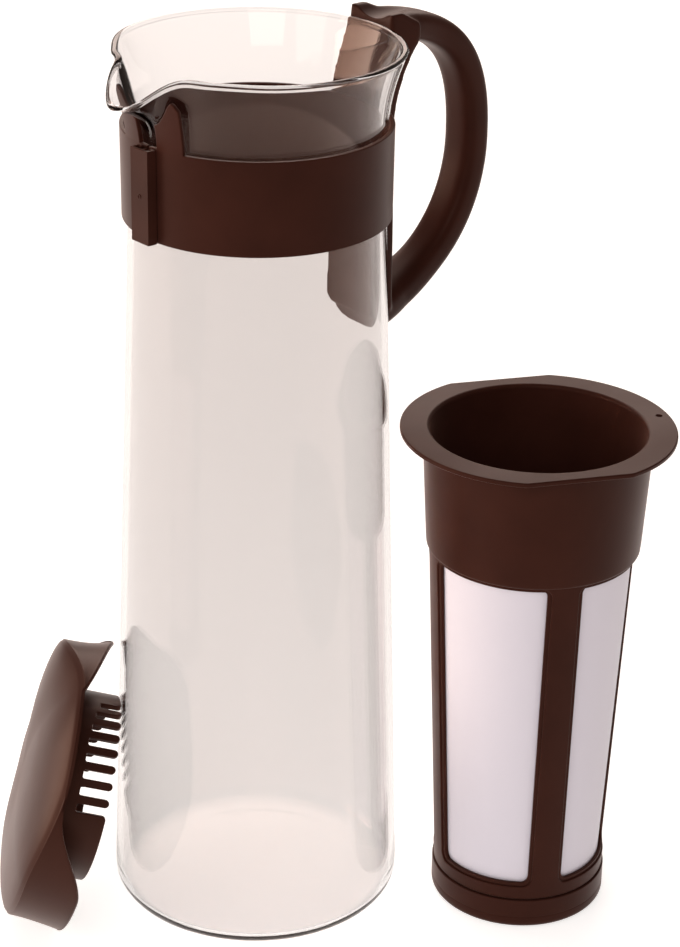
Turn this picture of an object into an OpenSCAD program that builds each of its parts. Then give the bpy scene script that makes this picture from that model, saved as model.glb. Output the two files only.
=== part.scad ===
// Cold brew coffee maker: a glass carafe with a banded handle, its lid and its strainer.
// The carafe stands at the origin, +X points to the handle and -X to the spout.
// The lid leans on the carafe and the strainer stands beside it, both taken out for use.

/* [Carafe glass] */
// Height of the tapered body, from the table to the straight neck
body_h = 236; // [200:1:260]
// Height of the straight neck
neck_h = 28; // [24:1:36]
// Height of the flared mouth above the neck
mouth_h = 23.2; // [18:0.1:32]
// Outer radius at the foot of the body
base_r = 47.4; // [44:0.1:54]
// Outer radius of the neck
neck_r = 39.4; // [36:0.1:42]
// Outer radius of the rim
rim_r = 44.7; // [42:0.1:50]
// Wall of the glass
glass_t = 2; // [1.5:0.1:3]
// Thickness of the glass floor
floor_t = 3.5; // [2:0.1:6]
// Radius of the heel round the foot
heel_r = 7; // [4:0.5:10]

/* [Spout] */
// How far the lip reaches out past the rim
spout_reach = 9.2; // [6:0.1:13]
// Half width of the spout, as an angle at the carafe's axis
spout_half_a = 16.3; // [12:0.1:18]
// How far the lip droops below the rim
spout_drop = 9; // [3:0.1:10]
// How far the shoulders beside the spout are pinched in
pinch_depth = 2.3; // [0:0.1:3]
// Angle of each pinched shoulder from the spout
pinch_a = 20.5; // [18:0.5:26]
// How much narrower the mouth is on the spout's side
mouth_narrow = 1.6; // [0:0.1:2.5]

/* [Neck band] */
// Height of the strap
band_h = 29; // [22:0.5:32]
// Thickness of the strap
band_t = 1.5; // [1.2:0.1:2.4]
// Clearance between the strap and the glass neck
band_gap = 0.3; // [0.2:0.05:0.5]
// How much wider the strap is at its top
band_flare = 0.2; // [0.1:0.1:1]
// Gap between the two ends of the strap
band_split = 1; // [0.6:0.1:2]
// Height of the two shoulders beside the spout, above the strap
tab_h = 16; // [10:0.5:19]
// Height of the low inner corner of each shoulder, above the strap
tab_low_h = 7.6; // [4:0.1:9]
// Angle from the spout to the inner edge of a shoulder
tab_in_a = 5.5; // [4.5:0.1:8]
// Angle from the spout to the outer edge of a shoulder
tab_out_a = 19.5; // [17:0.5:24]
// How much a shoulder leans outwards over its height
tab_flare = 3.2; // [2.8:0.1:4.5]

/* [Band clip] */
// Width of the sliding clip
clip_w = 8; // [7:0.1:10]
// Wall of the clip
clip_t = 0.9; // [0.7:0.05:1.2]
// How far the clip hangs below the strap
clip_drop = 0.1; // [0:0.1:2]
// Running clearance between the clip and its rails
clip_gap = 0.3; // [0.2:0.05:0.4]
// Thickness of the rail flanges
rail_t = 0.8; // [0.6:0.05:1.2]
// How far a rail flange reaches past its web
rail_lip = 1.4; // [1:0.1:1.8]

/* [Handle] */
// Half width of the back plate
plate_half_w = 11.7; // [9:0.1:14]
// Half width of the back plate at its top
plate_top_half_w = 9.4; // [8:0.1:12]
// Thickness of the back plate beside the strap
plate_t = 5; // [3:0.1:6]
// How far the back plate reaches below the strap
plate_below = 41.5; // [30:0.5:50]
// How far the back plate stands above the rim
plate_above = 4.3; // [2:0.1:6]
// Clearance between the back plate and the glass or strap
plate_gap = 0.3; // [0.2:0.05:0.5]
// Distance from the carafe's axis to the middle of the grip
grip_x = 87.4; // [76:0.2:96]
// Half thickness of the grip where it stands upright
grip_half_t = 5.2; // [4:0.1:7]
// Half width of the grip where it stands upright
grip_half_w = 6.8; // [5:0.1:9]
// Half thickness of the grip where it leaves the top of the plate
grip_top_t = 4.6; // [3:0.1:6]
// Half thickness of the grip at its foot
grip_foot_t = 5.6; // [5:0.1:9]
// Depth of the thumb scoop in the top of the handle
scoop_d = 3.4; // [1:0.1:4]
// Half width of the thumb scoop
scoop_half_w = 8.2; // [5:0.1:9]

/* [Strainer] */
// Height of the strainer
strainer_h = 168; // [140:1:190]
// Outer radius of its flange
flange_r = 43.6; // [40:0.1:46]
// Thickness of the flange
flange_t = 1.5; // [1.2:0.1:2.5]
// Distance from the axis to the two flats of the flange
flat_r = 40.2; // [38.5:0.1:42]
// Radius of the small hole through the flange
hole_r = 1.15; // [0.8:0.05:1.5]
// Outer radius of the barrel just below the flange
barrel_top_r = 36.5; // [35:0.1:38]
// Outer radius at the lower edge of the barrel
barrel_low_r = 34.2; // [33:0.1:35]
// Height of the barrel, from the flange to the windows
barrel_h = 40.4; // [30:0.1:60]
// How far the cage is set in from the barrel
cage_inset = 0.6; // [0.3:0.05:1.2]
// Outer radius of the cage at its foot
cage_low_r = 28.3; // [26:0.1:30]
// Wall of the strainer's frame
frame_t = 1.8; // [1.4:0.1:2.4]
// Width of each strut of the cage, as an angle
strut_a = 20; // [14:0.5:28]
// Height of the lower edge of the windows
window_z = 17; // [15.5:0.5:24]
// Radius of the windows' corners
window_r = 2.6; // [1:0.1:4]
// Width of the rebate round each window
rebate_w = 1.3; // [0.6:0.1:2]
// Depth of the rebate round each window
rebate_d = 0.6; // [0.3:0.05:0.9]
// Thickness of the mesh sleeve
mesh_t = 0.4; // [0.3:0.05:0.6]
// Clearance between the mesh and the cage
mesh_gap = 0.1; // [0.05:0.05:0.2]
// Height of the base cap
cap_h = 10.8; // [8:0.2:13]
// Outer radius of the base cap
cap_r = 28.8; // [28:0.1:31]
// Wall and floor of the base cap
cap_t = 2; // [1.4:0.1:2.4]
// Clearance between the base cap and the frame's spigot
cap_gap = 0.3; // [0.2:0.05:0.4]

/* [Lid] */
// Outer radius of the lid
lid_r = 45.2; // [44:0.1:50]
// Wall of the lid
lid_t = 1.8; // [1.4:0.1:2.4]
// Height of the dome over its edge
dome_h = 9.8; // [7:0.1:12]
// Drop of the rounded edge between the dome and the wall
edge_round = 1.1; // [0.4:0.1:2]
// How far the edge rises over the wide apron
apron_rise = 5.6; // [0:0.1:6]
// How far the edge rises over the pointed tongue
tongue_rise = 5.8; // [0:0.1:7]
// Depth of the wide apron below the edge
apron_d = 12.8; // [8:0.1:17.5]
// Depth of the pointed tongue below the edge
tongue_d = 11.4; // [5:0.5:15]
// Depth of the plain edge between them
edge_d = 1; // [0.8:0.1:3]
// How far the tongue's tip flares outwards
tongue_flare = 2.3; // [0:0.1:4]
// How far the apron flares outwards
apron_flare = 2.3; // [0:0.1:5]
// Outer radius of the comb ring
comb_r = 30.4; // [28:0.1:34]
// Depth of the comb ring
comb_d = 16.4; // [14:0.1:22]
// Wall of the comb ring
comb_t = 1.7; // [1.2:0.1:2.4]
// Slots in each half of the comb
slot_n = 8; // [4:1:9]
// Angle from slot to slot
slot_pitch_a = 10.35; // [8.5:0.05:11]
// Angle from the tongue to the first slot
slot_first_a = 27; // [24:0.1:42]
// Width of a slot
slot_w = 2.8; // [2:0.1:3.4]

/* [Places] */
// Lean of the lid from the vertical
lid_lean = 15; // [10:0.1:26]
// Roll of the lid about its own axis, the tongue turned away from the viewer
lid_roll = 25.3; // [0:0.1:35]
// Direction that the lid's open side faces
lid_heading = -35.2; // [-45:0.1:-10]
// Sideways offset of the lid from the carafe's axis
lid_offset = 16.7; // [0:0.1:20]
// Space left between the comb and the glass
lid_gap = 0.8; // [0.3:0.1:2]
// Direction of the strainer from the carafe
strainer_dir = -43.9; // [-60:0.1:-38]
// Space left between the strainer's flange and the glass
strainer_gap = 3.2; // [3:0.1:15]
// Turn of the strainer about its own axis
strainer_turn = -26.5; // [-90:0.5:90]

/* [Hidden] */
brown = [0.22, 0.12, 0.09];
eps = 0.01;
fine = 96;

// Heights along the carafe
band_top = body_h + band_h;
rim_z = body_h + neck_h + mouth_h;
// The straight part of the neck is turned; the mouth is lofted on top of it
loft_z = body_h + neck_h / 2;
tenon = 0.35;

function clamp01(t) = min(1, max(0, t));
function smooth(t) = clamp01(t) * clamp01(t) * (3 - 2 * clamp01(t));
function lerp(a, b, t) = a + (b - a) * t;
// Outer radius of the glass body at a height
function body_r(z) = lerp(base_r, neck_r, clamp01((z - heel_r) / (body_h - heel_r)));

// ---- polyhedron helpers: rows of points joined into a closed skin ----
function ring_faces(rows, n) = [for (i = [0 : rows - 2]) for (j = [0 : n - 1]) each [
    [i * n + j, i * n + (j + 1) % n, (i + 1) * n + (j + 1) % n],
    [i * n + j, (i + 1) * n + (j + 1) % n, (i + 1) * n + j]]];

// A skin whose first and last rows meet, like a ring of cross sections
module closed_ring(rows_pts, n) {
    rows = len(rows_pts);
    polyhedron(points = [for (row = rows_pts) each row],
        faces = [for (i = [0 : rows - 1]) for (j = [0 : n - 1]) each [
            [((i + 1) % rows) * n + (j + 1) % n, i * n + (j + 1) % n, i * n + j],
            [((i + 1) % rows) * n + j, ((i + 1) % rows) * n + (j + 1) % n, i * n + j]]]);
}

// A skin closed by a point at each end
module capped_skin(rows_pts, n, first, last) {
    rows = len(rows_pts);
    count = rows * n;
    polyhedron(points = concat([for (row = rows_pts) each row], [first, last]),
        faces = concat(ring_faces(rows, n),
            [for (j = [0 : n - 1]) [count, (j + 1) % n, j]],
            [for (j = [0 : n - 1]) [count + 1, count - n + j, count - n + (j + 1) % n]]));
}

// ---- carafe ----
mouth_n = 84;
spout_start_z = body_h + neck_h;

// Turn from the spout, -180 to 180
function from_spout(a) = let (d = (a - 180) % 360) d > 180 ? d - 360 : (d < -180 ? d + 360 : d);
// The spout is narrow at its root and wide at the lip
function spout_f(d, v) = exp(-pow(abs(d) / (spout_half_a * (0.4 + 0.6 * v)), 1.6));
function pinch_f(d) = pinch_depth * exp(-pow((abs(d) - pinch_a) / 8, 2))
    + mouth_narrow * exp(-pow((abs(d) - pinch_a - 15.5) / 17, 2));
function rim_height(d) = rim_z - spout_drop * exp(-pow(abs(d) / (spout_half_a * 0.785), 2.58));
// Share of the way up the mouth
function mouth_v(z, d) = clamp01((z - spout_start_z) / (rim_height(d) - spout_start_z));
function mouth_r(v, d) = neck_r + (rim_r - neck_r) * pow(v, 1.8)
    + spout_reach * spout_f(d, v) * pow(v, 3.6) - pinch_f(d) * pow(v, 2.5);

function polar(r, a, z) = [r * cos(a), r * sin(a), z];
function mouth_row(v, shift, lift) = [for (j = [0 : mouth_n - 1]) let (
        a = 360 * j / mouth_n,
        d = from_spout(a))
    polar(mouth_r(v, d) - shift, a, lerp(spout_start_z, rim_height(d), v) + lift)];
function neck_row(r, z) = [for (j = [0 : mouth_n - 1]) polar(r, 360 * j / mouth_n, z)];

mouth_steps = [0, 0.14, 0.28, 0.42, 0.55, 0.67, 0.77, 0.86, 0.93, 0.98];

// Outer skin up to the rim, the rounded lip, and the inner skin back down
function mouth_rows() = concat(
    [neck_row(neck_r - tenon, loft_z - 1), neck_row(neck_r - tenon, loft_z + 0.4),
        neck_row(neck_r, loft_z + 0.8)],
    [for (v = mouth_steps) mouth_row(v, 0, 0)],
    [mouth_row(1, -0.15, 0), mouth_row(1, 0.3, 0.7), mouth_row(1, glass_t / 2, 1),
        mouth_row(1, glass_t - 0.3, 0.7), mouth_row(1, glass_t + 0.15, 0)],
    [for (i = [len(mouth_steps) - 1 : -1 : 0]) mouth_row(mouth_steps[i], glass_t, 0)],
    [neck_row(neck_r - glass_t, loft_z + 0.8), neck_row(neck_r - glass_t + tenon, loft_z + 0.4),
        neck_row(neck_r - glass_t + tenon, loft_z - 1)]);

// Half section of the turned part: body, heel, floor and straight neck
module carafe_section() {
    heel_in = heel_r - glass_t;
    polygon(concat(
        [[0, 0]],
        [for (a = [270 : 15 : 360]) [base_r - heel_r + heel_r * cos(a), heel_r + heel_r * sin(a)]],
        [[neck_r, body_h], [neck_r, loft_z], [neck_r - glass_t, loft_z],
            [neck_r - glass_t, body_h], [body_r(floor_t + heel_in) - glass_t, floor_t + heel_in]],
        [for (a = [345 : -15 : 270]) [base_r - heel_r + heel_in * cos(a),
            floor_t + heel_in + heel_in * sin(a)]],
        [[0, floor_t]]));
}

module carafe_glass() {
    color([0.93, 0.89, 0.87, 0.4])
    union() {
        rotate_extrude($fn = fine) carafe_section();
        closed_ring(mouth_rows(), mouth_n);
    }
}

// ---- neck band ----
band_in_r = neck_r + band_gap;
band_out_r = band_in_r + band_t;
// The strap is cut flat under the clip
seat_u = band_out_r - 0.1;
rail_w = 1.1;
rail_reach = band_split / 2 + rail_w + rail_lip;
rail_back_u = seat_u + clip_gap + clip_t + clip_gap;
rail_front_u = rail_back_u + rail_t;
clip_z = body_h - clip_drop;
clip_top_z = band_top - 0.2;
rail_z = clip_z + clip_t + clip_gap;
rail_top_z = clip_top_z - 0.7;

module band_strap() {
    rotate_extrude($fn = fine)
    polygon([[band_in_r, body_h], [band_out_r, body_h], [band_out_r + band_flare, band_top],
        [band_in_r + band_flare, band_top]]);
}

// One shoulder seen along the spout, its low corner at the spout side
module shoulder_outline() {
    low_y = band_out_r * sin(tab_in_a);
    high_y = (band_out_r + band_flare) * sin(tab_out_a);
    crest = high_y - 3;
    polygon(concat([[low_y, band_top - 1.2], [low_y, band_top + tab_low_h]],
        [for (t = [0.15 : 0.17 : 0.83]) [lerp(low_y, crest, t),
            band_top + lerp(tab_low_h, tab_h, t * t * (1.6 - 0.6 * t))]],
        [for (a = [90 : -22.5 : 0]) [crest + 1.5 + 1.5 * cos(a), band_top + tab_h - 1.5 + 1.5 * sin(a)]],
        [[high_y, band_top - 1.2]]));
}

module shoulders() {
    base = band_in_r + band_flare;
    tab_t = band_t - 0.2;
    intersection() {
        rotate_extrude($fn = fine)
        polygon([[base, band_top - 1.2], [base + tab_t, band_top - 1.2],
            [base + tab_flare * 0.4 + tab_t, band_top + tab_h * 0.3],
            [base + tab_flare * 0.66 + tab_t, band_top + tab_h / 2],
            [base + tab_flare + tab_t, band_top + tab_h], [base + tab_flare, band_top + tab_h],
            [base + tab_flare * 0.66, band_top + tab_h / 2],
            [base + tab_flare * 0.4, band_top + tab_h * 0.3]]);
        union() {
            for (side = [-1, 1])
                rotate([90, 0, -90])
                mirror([side < 0 ? 1 : 0, 0, 0])
                linear_extrude(rim_r + 20) shoulder_outline();
        }
    }
}

// Two T-shaped rails, one on each end of the strap
module rails() {
    for (side = [-1, 1]) mirror([0, side < 0 ? 1 : 0, 0]) {
        translate([-rail_front_u, band_split / 2, rail_z])
            cube([rail_front_u - band_in_r - band_t / 2, rail_w, rail_top_z - rail_z]);
        translate([-rail_front_u, band_split / 2, rail_z])
            cube([rail_t, rail_w + rail_lip, rail_top_z - rail_z]);
    }
}

module neck_band() {
    color(brown)
    difference() {
        union() {
            difference() {
                union() {
                    band_strap();
                    shoulders();
                }
                // Flat seat for the clip
                translate([-seat_u - 10, -clip_w / 2 - 1, body_h - 1])
                    cube([10, clip_w + 2, band_h + 1 - 0.1]);
            }
            rails();
        }
        // The split between the two ends
        translate([-rail_front_u - 1, -band_split / 2, body_h - 1])
            cube([rail_front_u + 1 - band_in_r + band_t + 5, band_split, band_h + tab_h + 2]);
    }
}

// ---- band clip ----
clip_back_u = seat_u + clip_gap;
clip_front_u = rail_front_u + clip_gap + clip_t;
clip_pip_r = 0.8;

module band_clip() {
    inner_half = clip_w / 2 - clip_t;
    mouth_half = band_split / 2 + rail_w + clip_gap;
    color(brown)
    union() {
        difference() {
            translate([-clip_front_u, -clip_w / 2, clip_z])
                cube([clip_front_u - clip_back_u, clip_w, clip_top_z - clip_z]);
            // Room for the rail flanges
            translate([-clip_front_u + clip_t, -inner_half, clip_z + clip_t])
                cube([rail_t + 2 * clip_gap, 2 * inner_half, clip_top_z - clip_z]);
            // Mouth between the two hooks
            translate([-clip_front_u + clip_t, -mouth_half, clip_z + clip_t])
                cube([clip_front_u, 2 * mouth_half, clip_top_z - clip_z]);
        }
        // Moulding pip on the front face
        translate([-clip_front_u - 0.2, 0, (clip_z + clip_top_z) / 2])
            rotate([0, 90, 0]) cylinder(r = clip_pip_r, h = 0.4, $fn = 24);
    }
}

// ---- handle ----
plate_bottom = body_h - plate_below;
plate_top = rim_z + plate_above;
plate_low_r = body_r(plate_bottom) + plate_gap;
plate_band_low_r = band_out_r + plate_gap;
plate_band_top_r = band_out_r + band_flare + plate_gap;
plate_rim_r = rim_r + 0.15 + plate_gap;
plate_out_r = plate_band_top_r + plate_t;

// The plate thickens in a long curve up to the root of the grip
module plate_shell() {
    rotate_extrude($fn = fine)
    polygon(concat([[plate_low_r, plate_bottom], [plate_out_r + 0.9, plate_bottom]],
        [for (t = [0 : 0.125 : 1]) [plate_out_r + 11 * pow(t, 2.3), lerp(band_top - 9, rim_z - 4.5, t)]],
        [[plate_out_r + 11, plate_top - 4], [plate_out_r + 4, plate_top],
            [plate_rim_r + 0.8, plate_top], [plate_rim_r, rim_z - 3],
            [plate_band_top_r, band_top + 2], [plate_band_low_r, body_h],
            [plate_low_r + 0.3, body_h - 12]]));
}

// Outline of the plate seen along the spout, with rounded lower corners
module plate_outline() {
    corner = 3.5;
    polygon(concat([[plate_half_w, band_top + 6], [plate_top_half_w, plate_top + 0.2],
            [-plate_top_half_w, plate_top + 0.2], [-plate_half_w, band_top + 6]],
        [for (a = [180 : 15 : 270]) [-plate_half_w + corner + corner * cos(a),
            plate_bottom + corner + corner * sin(a)]],
        [for (a = [270 : 15 : 360]) [plate_half_w - corner + corner * cos(a),
            plate_bottom + corner + corner * sin(a)]]));
}

// Centre line of the grip: two cubic curves that meet upright at the grip's outermost place
root_x = plate_band_top_r + 1.2;
top_root_x = plate_rim_r + 1;
grip_top_z = plate_top - grip_top_t - 0.4;
grip_foot_z = plate_bottom + 2.5;
grip_mid_z = lerp(grip_foot_z, grip_top_z, 0.547);
grip_up = [[top_root_x, grip_top_z], [lerp(root_x, grip_x, 0.62), grip_top_z - 1],
    [grip_x, lerp(grip_mid_z, grip_top_z, 0.76)], [grip_x, grip_mid_z]];
grip_down = [[grip_x, grip_mid_z], [grip_x + 0.6, lerp(grip_mid_z, grip_foot_z, 0.47)],
    [lerp(root_x, grip_x, 0.7), grip_foot_z + 3.5], [root_x, grip_foot_z - 2]];

function bezier(p, t) = pow(1 - t, 3) * p[0] + 3 * pow(1 - t, 2) * t * p[1]
    + 3 * (1 - t) * t * t * p[2] + t * t * t * p[3];
function bezier_dir(p, t) = let (d = 3 * (1 - t) * (1 - t) * (p[1] - p[0])
    + 6 * (1 - t) * t * (p[2] - p[1]) + 3 * t * t * (p[3] - p[2])) d / norm(d);

grip_steps = 16;
section_n = 28;
// Rounded box section, between an ellipse and a rectangle
function section_pt(a, half_t, half_w) = [half_t * sign(cos(a)) * pow(abs(cos(a)), 0.62),
    half_w * sign(sin(a)) * pow(abs(sin(a)), 0.62)];
// The grip is as wide as the plate at its roots and narrows outwards
function grip_w(x, z) = grip_half_w
    + (plate_top_half_w - 0.2 - grip_half_w) * smooth((grip_x - 16 - x) / (0.9 * (grip_x - 16 - root_x)))
    + (z < grip_mid_z ? (plate_half_w - plate_top_half_w) * clamp01((root_x + 12 - x) / 12) : 0);
function grip_section(c, d, half_t) = [for (j = [0 : section_n - 1]) let (
        s = section_pt(360 * j / section_n, half_t, grip_w(c[0], c[1])))
    [c[0] - d[1] * s[0], s[1], c[1] + d[0] * s[0]]];
grip_rows = concat(
    [for (i = [0 : grip_steps - 1]) let (t = i / grip_steps)
        grip_section(bezier(grip_up, t), bezier_dir(grip_up, t), lerp(grip_top_t, grip_half_t, smooth(t)))],
    [for (i = [0 : grip_steps]) let (t = i / grip_steps)
        grip_section(bezier(grip_down, t), bezier_dir(grip_down, t),
            lerp(grip_half_t, grip_foot_t, pow(t, 2.5)))]);

module grip() {
    capped_skin(grip_rows, section_n, [top_root_x, 0, grip_top_z], [root_x, 0, grip_foot_z - 2]);
}

module handle() {
    scoop_r = (scoop_half_w * scoop_half_w + scoop_d * scoop_d) / (2 * scoop_d);
    color(brown)
    difference() {
        union() {
            intersection() {
                plate_shell();
                rotate([90, 0, 90]) linear_extrude(plate_out_r + 20) plate_outline();
            }
            grip();
        }
        // Thumb scoop along the top, fading out over the grip
        translate([root_x - 12, 0, plate_top + scoop_r - scoop_d])
            rotate([0, 90 - 3, 0]) cylinder(r = scoop_r, h = 50, $fn = fine);
    }
}

// ---- strainer ----
strainer_dist = max(body_r(strainer_h), body_r(strainer_h - flange_t)) + flange_r + strainer_gap;
strainer_x = strainer_dist * cos(strainer_dir);
strainer_y = strainer_dist * sin(strainer_dir);
barrel_z = strainer_h - barrel_h;
cage_top_r = barrel_low_r - cage_inset;
spigot_r = cap_r - cap_t - cap_gap;
function cage_r(z) = lerp(cage_low_r, cage_top_r, clamp01((z - cap_h) / (barrel_z - cap_h)));
function barrel_r(z) = lerp(barrel_low_r, barrel_top_r, (z - barrel_z) / barrel_h);

module at_strainer() {
    translate([strainer_x, strainer_y, 0]) rotate([0, 0, strainer_turn]) children();
}

// Half section of the strainer's frame, from the flange down to the spigot in the base cap
module frame_section() {
    lip = 1.2;
    mouth_in = barrel_top_r - frame_t - 0.6;
    polygon(concat(
        [[spigot_r, cap_t + cap_gap], [spigot_r, cap_h], [cage_low_r, cap_h],
            [cage_top_r, barrel_z], [barrel_low_r - 0.5, barrel_z], [barrel_low_r, barrel_z + 0.7],
            [barrel_top_r, strainer_h - flange_t - 0.8], [barrel_top_r + 0.8, strainer_h - flange_t],
            [flange_r - 0.5, strainer_h - flange_t], [flange_r, strainer_h - flange_t + 0.5],
            [flange_r, strainer_h - 0.4], [flange_r - 0.4, strainer_h]],
        [for (a = [90 : 15 : 180]) [mouth_in + lip + lip * cos(a), strainer_h - lip + lip * sin(a)]],
        [[barrel_r(barrel_z + 1) - frame_t, barrel_z + 1],
            [cage_top_r - frame_t, barrel_z - 1], [cage_low_r - frame_t, cap_h + 1],
            [spigot_r - cap_t + 0.4, cap_h - 1], [spigot_r - cap_t + 0.4, cap_t + cap_gap]]));
}

// One window seen from outside: a tapered panel with round corners
module window_outline(grow) {
    half_a = 45 - strut_a / 2;
    low = cage_r(window_z) * sin(half_a) + grow;
    high = cage_r(barrel_z) * sin(half_a) + grow;
    z0 = window_z - grow;
    z1 = barrel_z - 0.6 + grow * 0.3;
    r = window_r + grow * 0.5;
    polygon(concat(
        [for (a = [180 : 15 : 270]) [-low + r + r * cos(a), z0 + r + r * sin(a)]],
        [for (a = [270 : 15 : 360]) [low - r + r * cos(a), z0 + r + r * sin(a)]],
        [for (a = [0 : 15 : 90]) [high - r + r * cos(a), z1 - r + r * sin(a)]],
        [for (a = [90 : 15 : 180]) [-high + r + r * cos(a), z1 - r + r * sin(a)]]));
}

module window_cut(grow) {
    rotate([90, 0, 90]) linear_extrude(cage_top_r + 6) window_outline(grow);
}

module strainer_frame() {
    color(brown)
    at_strainer()
    difference() {
        rotate_extrude($fn = fine) frame_section();
        for (turn = [45 : 90 : 315]) rotate([0, 0, turn]) window_cut(0);
        // Rebate round each window
        difference() {
            union() {
                for (turn = [45 : 90 : 315]) rotate([0, 0, turn]) window_cut(rebate_w);
            }
            rotate_extrude($fn = fine)
            polygon([[0, 0], [cage_r(0) - rebate_d, 0], [cage_low_r - rebate_d, cap_h],
                [cage_top_r - rebate_d, barrel_z], [cage_top_r + 20, barrel_z],
                [cage_top_r + 20, barrel_z + 20], [0, barrel_z + 20]]);
        }
        // Two flats on the flange
        for (side = [-1, 1])
            translate([-50, side > 0 ? flat_r : -flat_r - 20, strainer_h - flange_t - 0.01])
                cube([100, 20, flange_t + 1]);
        // Small hole through the flange
        translate([(barrel_top_r + 0.8 + flange_r) / 2 - 0.3, 0, strainer_h - flange_t - 1])
            cylinder(r = hole_r, h = flange_t + 2, $fn = 32);
    }
}

module strainer_mesh() {
    low_z = cap_h + 1.5;
    high_z = barrel_z - 1.2;
    out = frame_t + mesh_gap;
    color([0.9, 0.88, 0.93])
    at_strainer()
    rotate_extrude($fn = fine)
    polygon([[cage_r(low_z) - out - mesh_t, low_z], [cage_r(low_z) - out, low_z],
        [cage_r(high_z) - out, high_z], [cage_r(high_z) - out - mesh_t, high_z]]);
}

module strainer_base() {
    foot = 2.2;
    color(brown)
    at_strainer()
    rotate_extrude($fn = fine)
    polygon(concat(
        [[0, 0]],
        [for (a = [270 : 15 : 360]) [cap_r - foot + foot * cos(a), foot + foot * sin(a)]],
        [[cap_r, cap_h - 0.6], [cap_r - 0.4, cap_h - 0.3 + 0.1], [cap_r - cap_t, cap_h - 0.2],
            [cap_r - cap_t, cap_t], [0, cap_t]]));
}

// ---- lid ----
lid_n = 84;
function off_tongue(a) = abs(a > 180 ? a - 360 : a);
// Height of the edge round the lid: it rises over the tongue and over the apron
function lid_edge(t) = tongue_rise * (1 - smooth(t / 44)) + apron_rise * smooth((t - 80) / 56);
// Height of the free lower edge: a pointed tongue, a plain edge and a wide apron
function lid_free(t) = -edge_d - (tongue_d - edge_d) * pow(clamp01(1 - t / 45), 0.74)
    - (apron_d - edge_d) * smooth((t - 98) / 40);
function lid_flare(t, share) = tongue_flare * pow(share, 3) * pow(clamp01(1 - t / 45), 0.6)
    + apron_flare * pow(share, 1.5) * smooth((t - 98) / 40);
// The dome runs out smoothly into the rises and rounds over at the edge
function dome_z(t, q) = dome_h * (1 - pow(q, 3)) + lid_edge(t) * pow(q, 2.2)
    - edge_round * pow(clamp01((q - 0.88) / 0.12), 2.2);

function lid_row(radius, q_drop) = [for (j = [0 : lid_n - 1]) let (
        a = 360 * j / lid_n, t = off_tongue(a), q = radius / lid_r)
    polar(radius, a, dome_z(t, q) - q_drop)];
function wall_row(share, inset) = [for (j = [0 : lid_n - 1]) let (
        a = 360 * j / lid_n, t = off_tongue(a), high = lid_edge(t) - 2 * edge_round, low = lid_free(t))
    polar(lid_r - inset + lid_flare(t, share), a, lerp(high, low, share))];
lid_rows = concat(
    [for (q = [0.25, 0.5, 0.7, 0.82, 0.9, 0.955, 0.985]) lid_row(lid_r * q, 0)],
    [for (share = [0, 0.35, 0.7, 1]) wall_row(share, 0)],
    [for (share = [1, 0.7, 0.35]) wall_row(share, lid_t)],
    [for (q = [0.94, 0.88, 0.8, 0.65, 0.5, 0.25]) lid_row(lid_r * q, lid_t)]);

// Depth of a slot's root below the edge, shallow near the tongue
function slot_root(t) = 0.39 * comb_d + 3.8 * pow(clamp01((66 - t) / 43), 2);

module slot_cut(t) {
    tip = (2 * PI * comb_r * slot_pitch_a / 360 - slot_w) / 2;
    rotate([0, 0, t])
    rotate([90, 0, 90])
    translate([0, 0, comb_r - comb_t - 2])
    linear_extrude(comb_t + 4)
    union() {
        translate([-slot_w / 2, -comb_d - 1]) square([slot_w, comb_d + 1 - slot_root(abs(t))]);
        // Rounds the ends of the fingers on both sides
        difference() {
            translate([-slot_w / 2 - tip, -comb_d - 1]) square([slot_w + 2 * tip, tip + 1]);
            for (side = [-1, 1])
                translate([side * (slot_w / 2 + tip), -comb_d + tip]) circle(tip, $fn = 32);
        }
    }
}

// The comb's wall runs up into the shell
function comb_row(inset, low) = [for (j = [0 : lid_n - 1]) let (a = 360 * j / lid_n)
    polar(comb_r - inset, a, low ? -comb_d : dome_z(off_tongue(a), comb_r / lid_r) - 0.6 * lid_t)];

module comb_ring() {
    difference() {
        closed_ring([comb_row(0, true), comb_row(0, false), comb_row(comb_t, false),
            comb_row(comb_t, true)], lid_n);
        for (side = [-1, 1]) for (i = [0 : slot_n - 1]) slot_cut(side * (slot_first_a + i * slot_pitch_a));
    }
}

// The lid in its own frame: the dome faces +Z, the tongue +X and the apron -X
module lid_form() {
    union() {
        capped_skin(lid_rows, lid_n, [0, 0, dome_h], [0, 0, dome_h - lid_t]);
        comb_ring();
    }
}

// The lid stands on its apron with its comb against the glass
contact_a = asin(lid_offset / comb_r);
lid_low = (lid_r + apron_flare) * cos(lid_lean) + apron_d * sin(lid_lean) + 0.2;
contact_z = lid_low - comb_d * sin(lid_lean) + comb_r * cos(lid_lean) * cos(contact_a);
lid_dist = body_r(contact_z) + lid_gap + comb_d * cos(lid_lean) + comb_r * sin(lid_lean) * cos(contact_a);

module lid() {
    color(brown)
    translate([-lid_dist * cos(lid_heading) + lid_offset * sin(lid_heading),
        -lid_dist * sin(lid_heading) - lid_offset * cos(lid_heading), lid_low])
    rotate([0, 0, lid_heading])
    rotate([0, lid_lean - 90, 0])
    rotate([0, 0, lid_roll])
    lid_form();
}

carafe_glass();
handle();
neck_band();
band_clip();
lid();
strainer_frame();
strainer_mesh();
strainer_base();
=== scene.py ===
"""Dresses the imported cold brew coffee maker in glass, brown plastic and fine mesh.

Every piece is built in the frame's own axes, in metres: +Z up, the handle on +X, the spout on -X.
"""
import math

import bmesh
import bpy
import numpy as np
from mathutils import Matrix, Vector


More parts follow.
